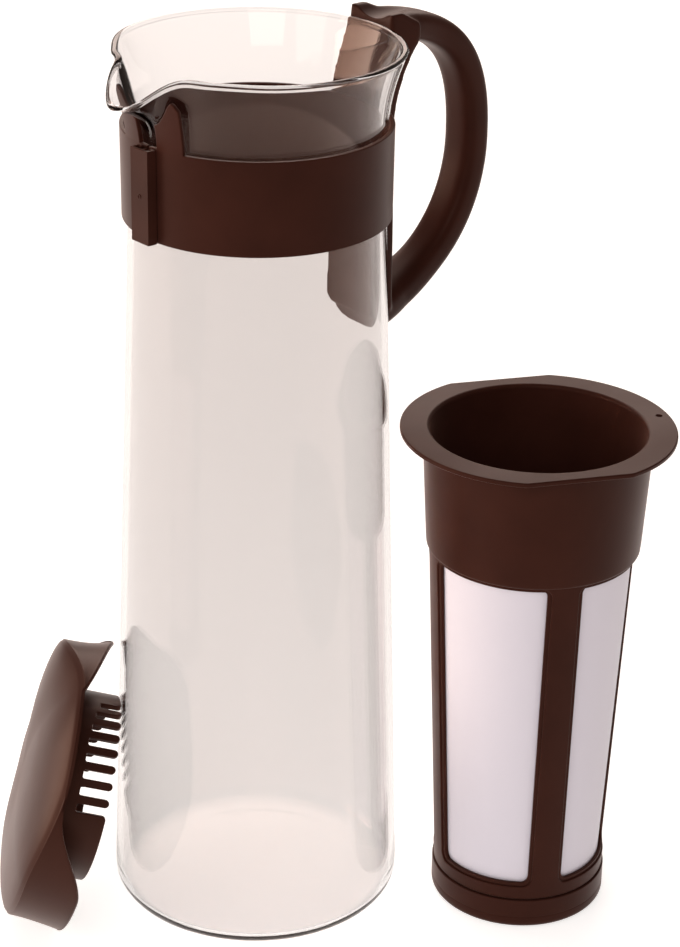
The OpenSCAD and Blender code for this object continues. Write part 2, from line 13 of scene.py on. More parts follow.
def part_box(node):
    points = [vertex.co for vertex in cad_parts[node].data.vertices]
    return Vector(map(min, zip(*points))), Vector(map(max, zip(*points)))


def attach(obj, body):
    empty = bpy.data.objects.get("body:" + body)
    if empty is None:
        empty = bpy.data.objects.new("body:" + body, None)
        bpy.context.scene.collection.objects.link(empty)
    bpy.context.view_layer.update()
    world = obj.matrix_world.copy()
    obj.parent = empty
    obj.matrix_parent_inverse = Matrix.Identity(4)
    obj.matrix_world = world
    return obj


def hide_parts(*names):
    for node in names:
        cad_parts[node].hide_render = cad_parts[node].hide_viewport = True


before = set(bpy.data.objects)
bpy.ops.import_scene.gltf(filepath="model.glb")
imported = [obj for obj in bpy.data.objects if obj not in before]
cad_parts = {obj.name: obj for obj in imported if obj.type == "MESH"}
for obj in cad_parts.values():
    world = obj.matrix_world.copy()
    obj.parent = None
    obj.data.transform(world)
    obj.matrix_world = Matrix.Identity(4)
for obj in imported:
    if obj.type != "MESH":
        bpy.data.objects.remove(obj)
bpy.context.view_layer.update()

bl_info = {
    "name": "Cold brew coffee maker",
    "version": (1, 0, 0),
    "blender": (4, 5, 0),
    "location": "3D view > Sidebar > Brewer",
    "description": "Builds the glass carafe, its handle and band, the lid and the mesh strainer",
    "category": "Object",
}

MM = 0.001
PHOTO_HEIGHT = 947
PLASTIC_NAMES = {"neck_band": "Band_Plastic", "band_clip": "Clip_Plastic",
                 "handle": "Handle_Plastic", "strainer_frame": "Strainer_Plastic",
                 "strainer_base": "Base_Plastic", "lid": "Lid_Plastic"}
_, STRAINER_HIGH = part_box("strainer_frame")
BASE_LOW, BASE_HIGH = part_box("strainer_base")


# ---- settings ----

def length(name, text, millimetres):
    """A length setting, given in millimetres and kept in metres."""
    return bpy.props.FloatProperty(name=name, description=text, default=millimetres * MM,
                                   min=0.0, unit="LENGTH", precision=5)


def depth(name, text, millimetres):
    """A place along the camera's view, in millimetres behind the carafe's axis."""
    return bpy.props.FloatProperty(name=name, description=text, default=millimetres * MM,
                                   unit="LENGTH", precision=5)


def turn(name, text, degrees):
    """An angle setting, given in degrees."""
    return bpy.props.FloatProperty(name=name, description=text, default=math.radians(degrees),
                                   subtype="ANGLE", precision=3)


def share(name, text, value):
    """A setting between 0 and 1."""
    return bpy.props.FloatProperty(name=name, description=text, default=value,
                                   min=0.0, max=1.0, subtype="FACTOR")


def tint(name, text, rgb):
    """A colour setting, in linear light."""
    return bpy.props.FloatVectorProperty(name=name, description=text, default=rgb,
                                         size=3, min=0.0, max=1.0, subtype="COLOR")


class BREWER_PG_glass(bpy.types.PropertyGroup):
    """Sizes and finish of the glass carafe"""
    body_height: length("Body height", "Height of the tapered body up to the straight neck", 236)
    neck_height: length("Neck height", "Height of the straight neck", 28)
    mouth_height: length("Mouth height", "Height of the flared mouth above the neck", 23.2)
    base_radius: length("Base radius", "Outer radius above the heel", 47.4)
    neck_radius: length("Neck radius", "Outer radius of the straight neck", 39.4)
    rim_radius: length("Rim radius", "Outer radius of the mouth at the rim", 44.7)
    wall: length("Wall", "Thickness of the glass wall", 2)
    floor: length("Floor", "Thickness of the glass floor", 3.5)
    heel_radius: length("Heel radius", "Rounding between the wall and the floor", 7)
    inner_heel: length("Inner heel", "Rounding inside between the wall and the floor", 3)
    push_up: length("Push-up", "Height of the hollow under the floor", 0.9)
    spout_reach: length("Spout reach", "How far the spout stands out past the rim", 9.2)
    spout_half_turn: turn("Spout width", "Half of the spout's width as an angle", 16.3)
    spout_drop: length("Spout drop", "How far the lip dips at the spout", 9)
    pinch_depth: length("Pinch depth", "How far the rim is pinched in beside the spout", 2.3)
    pinch_turn: turn("Pinch place", "Angle from the spout to each pinch", 20.5)
    mouth_narrow: length("Mouth narrowing", "How far the mouth draws in past each pinch", 1.6)
    reflection_tint: tint("Reflection tint", "Warm tint of the reflections", (1.0, 0.7, 0.6))
    colour: tint("Glass tint", "Tint of the light through each wall", (0.758, 0.747, 0.746))


class BREWER_PG_band(bpy.types.PropertyGroup):
    """Sizes of the neck band and its clip"""
    height: length("Band height", "Height of the strap round the neck", 29)
    thickness: length("Band thickness", "Thickness of the strap", 1.5)
    gap: length("Band gap", "Gap between the strap and the glass", 0.3)
    flare: length("Band flare", "How far the strap's top stands further out than its foot", 0.2)
    split: length("Split", "Gap between the strap's two ends", 1)
    shoulder_height: length("Shoulder height", "Height of the shoulders beside the spout", 16)
    shoulder_low: length("Shoulder low end", "Height of a shoulder at its end by the spout", 7.6)
    shoulder_in: turn("Shoulder start", "Angle from the spout to a shoulder's low end", 5.5)
    shoulder_out: turn("Shoulder end", "Angle from the spout to a shoulder's high end", 19.5)
    shoulder_flare: length("Shoulder flare", "How far a shoulder leans out at its top", 3.2)
    clip_width: length("Clip width", "Width of the clip", 8)
    clip_wall: length("Clip wall", "Wall thickness of the clip", 0.9)
    clip_drop: length("Clip drop", "How far the clip's foot hangs below the strap", 0.1)
    clip_gap: length("Clip gap", "Gap between the clip and the rails", 0.3)
    rail_flange: length("Rail flange", "Thickness of a rail's flange", 0.8)
    rail_lip: length("Rail lip", "How far a rail's flange reaches past its stem", 1.4)
    rail_stem: length("Rail stem", "Thickness of a rail's stem", 1.1)
    pip_radius: length("Pip radius", "Radius of the moulding pip on the clip", 0.8)


class BREWER_PG_handle(bpy.types.PropertyGroup):
    """Sizes of the handle and its back plate"""
    plate_half_width: length("Plate half width", "Half of the plate's width by the band", 11.7)
    plate_top_half_width: length("Plate top half width", "Half of the width at the top", 9.4)
    plate_thickness: length("Plate thickness", "Thickness of the plate by the band", 5)
    plate_below: length("Plate below", "How far the plate hangs below the neck's foot", 41.5)
    plate_above: length("Plate above", "How far the plate stands above the rim", 4.3)
    plate_gap: length("Plate gap", "Gap between the plate and the glass", 0.3)
    reach: length("Reach", "Distance of the grip's centre line from the carafe's axis", 87.4)
    half_thickness: length("Grip half thickness", "Half of the grip's thickness", 5.2)
    half_width: length("Grip half width", "Half of the grip's width", 6.8)
    top_half_thickness: length("Root half thickness", "Half thickness at the upper root", 4.6)
    foot_half_thickness: length("Foot half thickness", "Half thickness at the lower root", 5.6)
    scoop_depth: length("Scoop depth", "Depth of the thumb scoop", 3.4)
    scoop_half_width: length("Scoop half width", "Half of the thumb scoop's width", 8.2)
    grain: length("Grid step", "Size of the grid that blends plate and grip", 0.55)


class BREWER_PG_strainer(bpy.types.PropertyGroup):
    """Sizes and finish of the mesh strainer"""
    flange_radius: length("Flange radius", "Radius of the round part of the flange", 43.6)
    flange_thickness: length("Flange thickness", "Thickness of the flange", 1.5)
    flat_radius: length("Flat distance", "Distance of the flange's two flats from its axis", 40.2)
    hole_radius: length("Hole radius", "Radius of the small hole in the flange", 1.15)
    barrel_top_radius: length("Barrel top radius", "Outer radius under the flange", 36.5)
    barrel_low_radius: length("Barrel low radius", "Outer radius of the barrel's lower edge", 34.2)
    barrel_height: length("Barrel height", "Height of the barrel", 40.4)
    cage_inset: length("Cage inset", "Step from the barrel in to the cage", 0.6)
    cage_low_radius: length("Cage low radius", "Outer radius of the cage's foot", 28.3)
    wall: length("Wall", "Thickness of the frame's wall", 1.8)
    strut_width: length("Strut width", "Width of each strut between two windows", 11.8)
    window_foot: length("Window foot", "Height of the windows' lower edge", 17)
    window_corner: length("Window corner", "Radius of the windows' corners", 2.6)
    rebate_width: length("Rebate width", "Width of the step round each window", 1.3)
    rebate_depth: length("Rebate depth", "Depth of the step round each window", 0.6)
    cap_height: length("Cap height", "Height of the base cap", 10.8)
    cap_radius: length("Cap radius", "Outer radius of the base cap", 28.8)
    cap_wall: length("Cap wall", "Wall thickness of the base cap", 2)
    heading: turn("Heading", "Turn of the strainer about its own axis", -26.5)
    mesh_colour: tint("Mesh colour", "Colour of the mesh threads", (0.73, 0.69, 0.765))
    thread_pitch: length("Thread pitch", "Distance between the mesh's threads", 0.3)


class BREWER_PG_lid(bpy.types.PropertyGroup):
    """Sizes and place of the lid"""
    radius: length("Radius", "Outer radius of the lid", 45.2)
    wall: length("Wall", "Thickness of the dome and the wall", 1.8)
    dome_height: length("Dome height", "Height of the dome's middle above the plain edge", 9.8)
    edge_round: length("Edge round", "Drop of the rounded edge between dome and wall", 0.6)
    apron_rise: length("Apron rise", "How far the edge rises over the apron", 5.6)
    tongue_rise: length("Tongue rise", "How far the edge rises over the tongue", 5.8)
    apron_depth: length("Apron depth", "How far the apron hangs down", 12.8)
    tongue_depth: length("Tongue depth", "How far the tongue hangs down", 11.4)
    edge_depth: length("Edge depth", "Height of the wall between tongue and apron", 1)
    tongue_flare: length("Tongue flare", "How far the tongue's tip leans out", 2.3)
    apron_flare: length("Apron flare", "How far the apron's edge leans out", 2.3)
    comb_radius: length("Comb radius", "Outer radius of the comb", 30.4)
    comb_depth: length("Comb depth", "How far the comb hangs down", 16.4)
    comb_wall: length("Comb wall", "Thickness of the comb", 1.7)
    slots: bpy.props.IntProperty(name="Slots", description="Slots on each side of the comb",
                                 default=8, min=1, max=12)
    slot_pitch: turn("Slot pitch", "Angle from one slot to the next", 10.35)
    slot_first: turn("First slot", "Angle from the tongue to the first slot", 27)
    slot_width: length("Slot width", "Width of a slot", 2.8)
    lean: turn("Lean", "Lean of the standing lid towards the glass", 15)
    roll: turn("Roll", "Turn of the lid about its own axis", 25.3)
    heading: turn("Heading", "Direction from the carafe to the lid, from -X", -35.2)
    offset: length("Offset", "Sideways offset of the lid's axis from the carafe's", 16.7)
    gap: length("Gap", "Gap between the comb and the glass", 0.8)


class BREWER_PG_finish(bpy.types.PropertyGroup):
    """Finish of the moulded plastic"""
    colour: tint("Plastic colour", "Chocolate brown of the mouldings", (0.034, 0.0102, 0.0068))
    gloss_tint: tint("Gloss tint", "Warm tint of the satin gloss", (1.0, 0.6, 0.47))
    roughness: share("Roughness", "Average roughness of the mouldings", 0.36)
    gloss: share("Gloss", "Strength of the satin gloss", 0.09)
    lid_gloss: share("Lid gloss", "Strength of the lid's satin gloss", 0.22)


class BREWER_PG_stage(bpy.types.PropertyGroup):
    """Camera, floor and lights"""
    camera_distance: length("Camera distance", "Level distance from the carafe's axis", 770)
    camera_height: length("Camera height", "Height of the camera above the floor", 501)
    camera_side: turn("Camera side", "Direction of the camera from -Y towards -X", 39.5)
    aim_side: turn("Aim to the side", "How far the camera looks past the carafe", 1.97)
    pitch: turn("Pitch", "How far the camera looks down", 24.58)
    roll: turn("Roll", "Roll of the camera", 0.94)
    focal: bpy.props.FloatProperty(name="Focal length", default=2662.2,
                                   description="Focal length in pixels of the photograph", min=1.0)
    floor_colour: tint("Floor colour", "Pale colour of the floor", (0.74, 0.74, 0.74))
    # Painted light: the floor glows by itself, fully where the pieces stand, less in front of them
    # and a little less at the back.
    floor_glow: share("Floor glow", "Light that the lit sweep gives of itself", 0.7)
    near_glow: share("Near glow", "Light of the sweep in front of the pieces", 0.3)
    far_glow: share("Far glow", "Share of that light left at the back of the sweep", 0.8)
    glow_start: depth("Glow start", "Depth from which the sweep is fully lit", -65)
    glow_end: depth("Glow end", "Depth in front of which the sweep is lit least", -600)
    glow_reach: depth("Glow reach", "Depth behind which the sweep's light has faded", 800)
    floor_drop: length("Floor drop", "Gap that keeps the floor off the glass's foot", 0.3)
    floor_size: length("Floor size", "Side of the square floor", 9000)


# ---- numbers ----

def clamp01(value):
    return np.clip(value, 0.0, 1.0)


def smooth(value):
    value = clamp01(value)
    return value * value * (3 - 2 * value)


def lerp(start, end, part):
    return start + (end - start) * part


def sine(degrees):
    return math.sin(math.radians(degrees))


def cosine(degrees):
    return math.cos(math.radians(degrees))


def arc(centre_r, centre_z, radius, start, end, steps):
    """Points of an arc in a half section, angles in degrees."""
    return [(centre_r + radius * cosine(a), centre_z + radius * sine(a))
            for a in np.linspace(start, end, steps + 1)]


def ring_turns(count):
    """Angles round the axis, in degrees from +X."""
    return np.arange(count) * 360.0 / count


def ring_points(radius, height, count):
    """A ring of points about Z. Radius and height are numbers or one value per angle."""
    turns = np.radians(ring_turns(count))
    radius = np.broadcast_to(radius, turns.shape)
    height = np.broadcast_to(height, turns.shape)
    return np.stack([radius * np.cos(turns), radius * np.sin(turns), height], axis=1)


# ---- meshes ----

SAME_PLACE = 1e-6   # metres: points of an outline that are closer than this are one
SEAM_GAP = 5e-6     # metres: points on the two sides of a wrapped plate's seam
ON_PLANE = 1e-7     # metres: points that count as lying on a cut

def mesh_object(name, points, faces, sharp=None):
    """A smooth-shaded object. Edges that turn more than `sharp` degrees stay sharp."""
    mesh = bpy.data.meshes.new(name)
    mesh.from_pydata([tuple(p) for p in points], [], faces)
    mesh.validate()
    mesh.update()
    return finished_object(name, mesh, sharp)


def finished_object(name, mesh, sharp=None):
    """Links a mesh as an object with outward normals and smooth shading."""
    shell = bmesh.new()
    shell.from_mesh(mesh)
    bmesh.ops.recalc_face_normals(shell, faces=shell.faces)
    shell.to_mesh(mesh)
    shell.free()
    mesh.shade_smooth()
    if sharp is not None:
        mesh.set_sharp_from_angle(angle=math.radians(sharp))
    piece = bpy.data.objects.new(name, mesh)
    bpy.context.scene.collection.objects.link(piece)
    return piece


def joined_rows(rows, closed):
    """Points and faces of rows of equal length, each row a ring. Closed rows meet last to first."""
    count = len(rows[0])
    points = np.concatenate(rows)
    faces = []
    for i in range(len(rows) if closed else len(rows) - 1):
        low, high = i * count, (i + 1) % len(rows) * count
        faces += [(low + j, low + (j + 1) % count, high + (j + 1) % count, high + j)
                  for j in range(count)]
    return points, faces


def closed_skin(rows, first, last):
    """Points and faces of rings closed by a point at each end."""
    points, faces = joined_rows(rows, closed=False)
    count = len(rows[0])
    start, end = len(points), len(points) + 1
    tail = len(points) - count
    points = np.concatenate([points, [first, last]])
    faces += [(start, (j + 1) % count, j) for j in range(count)]
    faces += [(end, tail + j, tail + (j + 1) % count) for j in range(count)]
    return points, faces


def evaluated_mesh(piece):
    """A new mesh of an object with its modifiers or its bevel applied."""
    bpy.context.view_layer.update()
    graph = bpy.context.evaluated_depsgraph_get()
    return bpy.data.meshes.new_from_object(piece.evaluated_get(graph))


def taken_in(mesh):
    """A bmesh that takes the place of a mesh."""
    shape = bmesh.new()
    shape.from_mesh(mesh)
    bpy.data.meshes.remove(mesh)
    return shape


def given_out(shape, name):
    """A mesh that takes the place of a bmesh."""
    mesh = bpy.data.meshes.new(name)
    shape.to_mesh(mesh)
    shape.free()
    return mesh


def flat_moulding(loops, thickness, rounding):
    """A flat plate with rounded edges, as a bmesh. The loops lie in X and Y, and the plate is
    centred on Z 0."""
    outline = bpy.data.curves.new("Outline", "CURVE")
    outline.dimensions = "2D"
    outline.fill_mode = "BOTH"
    outline.extrude = thickness / 2 - rounding
    outline.bevel_depth = rounding
    outline.bevel_resolution = 2
    outline.offset = -rounding
    for loop in loops:
        spline = outline.splines.new("POLY")
        spline.points.add(len(loop) - 1)
        for point, (x, y) in zip(spline.points, loop):
            point.co = (x, y, 0, 1)
        spline.use_cyclic_u = True
    holder = bpy.data.objects.new("Outline", outline)
    bpy.context.scene.collection.objects.link(holder)
    plate = taken_in(evaluated_mesh(holder))
    bmesh.ops.remove_doubles(plate, verts=plate.verts, dist=SAME_PLACE)
    bpy.data.objects.remove(holder)
    bpy.data.curves.remove(outline)
    return plate


def whole_of(plate):
    return plate.verts[:] + plate.edges[:] + plate.faces[:]


def cut_across(plate, places, axis):
    """Cuts a plate at each place along an axis, so that it can be bent."""
    normal = Vector([float(i == axis) for i in range(3)])
    for place in places:
        bmesh.ops.bisect_plane(plate, geom=whole_of(plate), plane_co=normal * place,
                               plane_no=normal, dist=ON_PLANE)


def trim_ends(plate, half):
    """Cuts off a plate's two ends past X -half and +half and leaves them open."""
    for side in (-1, 1):
        bmesh.ops.bisect_plane(plate, geom=whole_of(plate), plane_co=(side * half, 0, 0),
                               plane_no=(side, 0, 0), clear_outer=True)


def wrapped(plate, radius_at, scale, start):
    """Wraps a plate round Z. X runs round at `scale` degrees per metre from the angle `start`, Y is
    the height, and Z goes outwards from the radius at that height and angle."""
    for vert in plate.verts:
        degrees = vert.co.x * scale
        out = radius_at(vert.co.y, degrees) + vert.co.z
        direction = math.radians(start + degrees)
        vert.co = Vector((out * math.cos(direction), out * math.sin(direction), vert.co.y))
    bmesh.ops.remove_doubles(plate, verts=plate.verts, dist=SEAM_GAP)


def rounded_box(x0, x1, y0, y1, corner, steps=6):
    """The outline of a rectangle with round corners."""
    loop = []
    low_x, high_x, low_y, high_y = x0 + corner, x1 - corner, y0 + corner, y1 - corner
    centres = ((high_x, high_y), (low_x, high_y), (low_x, low_y), (high_x, low_y))
    for start, centre in zip((0, 90, 180, 270), centres):
        loop += arc(*centre, corner, start, start + 90, steps)
    return loop


def merged(name, parts, sharp=35):
    """One object from several bmeshes, which are used up."""
    whole = bmesh.new()
    for part in parts:
        mesh = given_out(part, "Part")
        whole.from_mesh(mesh)
        bpy.data.meshes.remove(mesh)
    piece = finished_object(name, given_out(whole, name), sharp)
    weighted = piece.modifiers.new("Even shading", "WEIGHTED_NORMAL")
    weighted.keep_sharp = True
    return piece


def as_bmesh(points, faces):
    """A bmesh from points and faces."""
    shape = bmesh.new()
    verts = [shape.verts.new(p) for p in points]
    for face in faces:
        shape.faces.new([verts[i] for i in face])
    bmesh.ops.recalc_face_normals(shape, faces=shape.faces)
    return shape


def moved(part, matrix):
    bmesh.ops.transform(part, matrix=matrix, verts=part.verts)
    return part


# ---- materials ----

def shaded(colour, share_kept):
    """A colour made darker or lighter."""
    return [channel * share_kept for channel in colour]


class Surface:
    """A material in the making: its main shader and short ways to put nodes before it."""

    def __init__(self, name, values):
        self.material = bpy.data.materials.new(name)
        self.material.use_nodes = True
        self.tree = self.material.node_tree
        self.shader = self.tree.nodes["Principled BSDF"]
        for socket, value in values.items():
            self.shader.inputs[socket].default_value = value

    def into(self, socket, source):
        """Links a source into the main shader."""
        self.tree.links.new(source, self.shader.inputs[socket])

    def add(self, kind, values=(), links=()):
        """A new node with values on some sockets and links into others."""
        node = self.tree.nodes.new(kind)
        for socket, value in values:
            node.inputs[socket].default_value = value
        for socket, source in links:
            self.tree.links.new(source, node.inputs[socket])
        return node

    def own_place(self):
        """The place on the piece, in the piece's own metres."""
        return self.add("ShaderNodeTexCoord").outputs["Object"]

    def mapped(self, place, socket, value):
        """A place that is turned or stretched."""
        node = self.add("ShaderNodeMapping", [(socket, value)], [("Vector", place)])
        return node.outputs["Vector"]

    def noise(self, place, grains, detail=2.0):
        """Noise with the given number of grains per metre."""
        values = [("Scale", grains), ("Detail", detail)]
        return self.add("ShaderNodeTexNoise", values, [("Vector", place)]).outputs["Fac"]

    def ranged(self, source, begin, finish, low, high, bend="LINEAR"):
        """A value that goes from low to high while its source goes from begin to finish."""
        values = [("From Min", begin), ("From Max", finish), ("To Min", low), ("To Max", high)]
        node = self.add("ShaderNodeMapRange", values, [("Value", source)])
        node.interpolation_type = bend
        return node.outputs["Result"]

    def joined(self, operation, first, second):
        """Two values joined by an operation."""
        node = self.add("ShaderNodeMath", links=[(0, first), (1, second)])
        node.operation = operation
        return node.outputs["Value"]

    def tones(self, source, dark, light, begin=0.0, finish=1.0):
        """The base colour, from dark to light while its source goes from begin to finish."""
        ramp = self.add("ShaderNodeValToRGB", links=[("Fac", source)])
        stops = ramp.color_ramp.elements
        for stop, place, colour in zip(stops, (begin, finish), (dark, light)):
            stop.position = place
            stop.color = (*colour, 1)
        self.into("Base Color", ramp.outputs["Color"])

    def relief(self, source, strength, height):
        """Relief in the surface."""
        bump = self.add("ShaderNodeBump", [("Strength", strength), ("Distance", height)],
                        [("Height", source)])
        self.into("Normal", bump.outputs["Normal"])


def brown_plastic(name, finish, gloss):
    """Chocolate-brown moulded plastic: a faint mottle, a satin skin and the tool's fine grain."""
    gloss_tint = (*finish.gloss_tint, 1)
    look = Surface(name, {"IOR": 1.46, "Specular IOR Level": gloss, "Specular Tint": gloss_tint,
                          "Sheen Weight": 0.1, "Sheen Roughness": 0.4, "Sheen Tint": gloss_tint})
    place = look.own_place()
    mottle = look.noise(place, grains=55.0, detail=4.0)
    look.tones(mottle, shaded(finish.colour, 0.88), shaded(finish.colour, 1.14), 0.3, 0.7)
    handling = look.noise(place, grains=24.0, detail=5.0)
    look.into("Roughness", look.ranged(handling, 0.3, 0.7, low=finish.roughness - 0.05,
                                       high=finish.roughness + 0.06))
    look.relief(look.noise(place, grains=1400.0), strength=0.12, height=0.05 * MM)
    return look.material


def clear_glass(settings):
    """Clear pressed glass with a faint warm tint and slow upright ripples in its surface."""
    look = Surface("Clear_Glass", {
        "Base Color": (*settings.colour, 1), "Roughness": 0.0, "IOR": 1.37,
        "Transmission Weight": 1.0, "Specular Tint": (*settings.reflection_tint, 1)})
    upright = look.mapped(look.own_place(), "Scale", (1.0, 1.0, 0.08))
    ripple = look.noise(upright, grains=16.0, detail=1.0)
    look.relief(ripple, strength=0.16, height=1.0 * MM)
    return look.material


def fine_mesh(settings):
    """Woven polyester mesh: crossing threads in relief, slightly see-through between them."""
    look = Surface("Fine_Mesh", {"Roughness": 0.55, "Sheen Weight": 0.2})
    place = look.add("ShaderNodeUVMap").outputs["UV"]
    waves_per_unit = math.pi / (10 * settings.thread_pitch)
    threads = []
    for direction in ("X", "Y"):
        wave = look.add("ShaderNodeTexWave", [("Scale", waves_per_unit)], [("Vector", place)])
        wave.bands_direction = direction
        threads.append(wave.outputs["Fac"])
    weave = look.joined("MAXIMUM", *threads)
    look.into("Alpha", look.ranged(weave, 0.0, 1.0, low=0.84, high=0.95))
    look.tones(weave, shaded(settings.mesh_colour, 0.95), settings.mesh_colour)
    look.relief(weave, strength=0.2, height=0.04 * MM)
    return look.material


def pale_floor(settings):
    """A plain pale sweep with barely visible unevenness and a painted glow of its own, as if lit
    from below, that fades towards the camera and a little towards the back."""
    look = Surface("Pale_Floor", {"Roughness": 0.8, "Specular IOR Level": 0.2,
                                  "Emission Color": (1.0, 0.985, 0.97, 1)})
    place = look.own_place()
    cloud = look.noise(place, grains=0.8)
    look.tones(cloud, shaded(settings.floor_colour, 0.985), settings.floor_colour)
    turned = look.mapped(place, "Rotation", (0.0, 0.0, settings.camera_side))
    depth = look.add("ShaderNodeSeparateXYZ", links=[("Vector", turned)]).outputs["Y"]
    lit = look.ranged(depth, settings.glow_end, settings.glow_start,
                      low=settings.near_glow, high=settings.floor_glow, bend="SMOOTHSTEP")
    far = look.ranged(depth, 0.0, settings.glow_reach,
                      low=1.0, high=settings.far_glow, bend="SMOOTHSTEP")
    # Painted glow: the floor gives off light by itself, set by its depth along the view.
    look.into("Emission Strength", look.joined("MULTIPLY", lit, far))
    return look.material


def dress(piece, material, body, slot, *nodes):
    """Gives a piece its material and its body, and hides the nodes it stands for. The slot is not
    used.
    """
    piece.data.materials.clear()
    piece.data.materials.append(material)
    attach(piece, body)
    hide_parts(*nodes)


def dress_in_plastic(piece, finish, body, node):
    """Gives a piece its own brown plastic."""
    gloss = finish.lid_gloss if node == "lid" else finish.gloss
    material = brown_plastic(PLASTIC_NAMES[node], finish, gloss)
    dress(piece, material, body, "brown_plastic", node)


# ---- carafe ----

GLASS_TURNS = 288


class GlassForm:
    """The carafe's outer radius at each height and angle."""

    def __init__(self, settings):
        self.s = settings
        self.mouth_z = settings.body_height + settings.neck_height
        self.rim_z = self.mouth_z + settings.mouth_height
        turns = ring_turns(GLASS_TURNS)
        self.off_spout = np.abs((turns - 180 + 180) % 360 - 180)

    def body_radius(self, z):
        """Outer radius of the tapered body at a height."""
        s = self.s
        part = clamp01((z - s.heel_radius) / (s.body_height - s.heel_radius))
        return lerp(s.base_radius, s.neck_radius, part)

    def rim_height(self):
        """Height round the rim, which dips at the spout."""
        dip_turn = 0.785 * math.degrees(self.s.spout_half_turn)
        return self.rim_z - self.s.spout_drop * np.exp(-(self.off_spout / dip_turn) ** 2.58)

    def mouth_radius(self, part):
        """Outer radius round the mouth, part of the way from the neck to the rim."""
        s, off = self.s, self.off_spout
        spout_turn = math.degrees(s.spout_half_turn) * lerp(0.4, 1.0, part)
        spout = np.exp(-(off / spout_turn) ** 1.6)
        past_pinch = off - math.degrees(s.pinch_turn)
        narrow = (s.pinch_depth * np.exp(-(past_pinch / 8) ** 2)
                  + s.mouth_narrow * np.exp(-((past_pinch - 15.5) / 17) ** 2))
        return (s.neck_radius + (s.rim_radius - s.neck_radius) * part ** 1.8
                + s.spout_reach * spout * part ** 3.6 - narrow * part ** 2.5)

    def mouth_ring(self, part, inset, lift=0.0):
        """A ring round the mouth, inside its outer face and above its height."""
        height = lerp(self.mouth_z, self.rim_height(), part) + lift
        return ring_points(self.mouth_radius(part) - inset, height, GLASS_TURNS)


def glass_rows(form):
    """Rings from the middle of the underside, up the outside, over the lip and down to the
    inner floor."""
    s = form.s
    heel_r = s.base_radius - s.heel_radius
    hollow_edge = 0.92
    neck = np.linspace(s.body_height + 2 * MM, form.mouth_z - MM, 6)
    mouth = list(np.linspace(0, 0.98, 34))
    lip_half, lip_rise = s.wall / 2 + 0.15 * MM, 1.05 * MM

    def rings(profile):
        return [ring_points(radius, height, GLASS_TURNS) for radius, height in profile]

    def hollow(shares, floor):
        """The floor's hollow, at shares of the distance from the axis to the heel."""
        return rings([(heel_r * q, floor + s.push_up * (1 - min(q / hollow_edge, 1.0) ** 4))
                      for q in shares])

    def body(heights, inset):
        return rings([(form.body_radius(z) - inset, z) for z in heights])

    rows = hollow((0.1, 0.3, 0.5, 0.7, 0.82, 0.88, hollow_edge), 0.0)
    rows += rings(arc(heel_r, s.heel_radius, s.heel_radius, 270, 360, 10))
    rows += body(np.linspace(s.heel_radius + 2 * MM, s.body_height, 30), 0.0)
    rows += rings([(s.neck_radius, z) for z in neck])
    rows += [form.mouth_ring(part, 0.0) for part in mouth]
    rows += [form.mouth_ring(1.0, s.wall / 2 - lip_half * cosine(a), lip_rise * sine(a))
             for a in np.linspace(0, 180, 9)]
    rows += [form.mouth_ring(part, s.wall) for part in reversed(mouth)]
    rows += rings([(s.neck_radius - s.wall, z) for z in reversed(neck)])
    rows += body(np.linspace(s.body_height, s.heel_radius + s.floor, 30), s.wall)
    rows += rings(arc(s.base_radius - s.wall - s.inner_heel, s.floor + s.inner_heel,
                      s.inner_heel, 350, 270, 9))
    rows += hollow((hollow_edge, 0.82, 0.7, 0.5, 0.3, 0.1), s.floor)
    return rows


class BREWER_OT_glass(bpy.types.Operator):
    """Build the glass carafe with its spout"""
    bl_idname = "brewer.glass"
    bl_label = "Glass carafe"

    def execute(self, context):
        s = context.scene.brewer_glass
        rows = glass_rows(GlassForm(s))
        points, faces = closed_skin(rows, (0, 0, s.push_up), (0, 0, s.floor + s.push_up))
        piece = mesh_object("Carafe_Glass", points, faces)
        piece.visible_shadow = False
        dress(piece, clear_glass(s), "carafe", "clear_glass", "carafe_glass")
        return {"FINISHED"}


# ---- neck band and clip ----

class BandForm:
    """Radii and heights shared by the band, its rails and the clip."""

    def __init__(self, band, glass):
        self.inner = glass.neck_radius + band.gap
        self.outer = self.inner + band.thickness
        self.low = glass.body_height
        self.top = self.low + band.height
        self.seat = self.outer - 0.1 * MM
        self.rail_back = self.seat + 2 * band.clip_gap + band.clip_wall
        self.rail_front = self.rail_back + band.rail_flange
        self.clip_low = self.low - band.clip_drop
        self.clip_top = self.top - 0.2 * MM
        self.rail_low = self.clip_low + band.clip_wall + band.clip_gap
        self.rail_top = self.clip_top - 0.7 * MM
        self.clip_front = self.rail_front + band.clip_gap + band.clip_wall
        self.clip_back = self.seat + band.clip_gap


def band_outline(band, form, degree):
    """The unrolled strap with a shoulder at each end, X round from the handle and Y up."""
    split = math.degrees(band.split / 2 / form.outer)
    inner, outer = math.degrees(band.shoulder_in), math.degrees(band.shoulder_out)
    crest = outer - 3.6
    corner = 1.8 * MM
    top, crest_z = form.top, form.top + band.shoulder_height
    # one end, as angles off the spout and heights
    end = [(split, form.low), (split, top), (inner, top + 0.2 * MM),
           (inner + 0.4, top + band.shoulder_low)]
    end += [(lerp(inner, crest, t), lerp(top + band.shoulder_low, crest_z, t * t * (1.6 - 0.6 * t)))
            for t in np.linspace(0.15, 0.9, 6)]
    end += [(crest + corner / degree * sine(a), crest_z - corner * (1 - cosine(a)))
            for a in (15, 45, 75)]
    end += [(outer, crest_z - 2.4 * MM), (outer, top)]
    loop = [(180 - off, z) for off, z in end]
    return [(x * degree, y) for x, y in loop + [(-a, z) for a, z in reversed(loop)]]


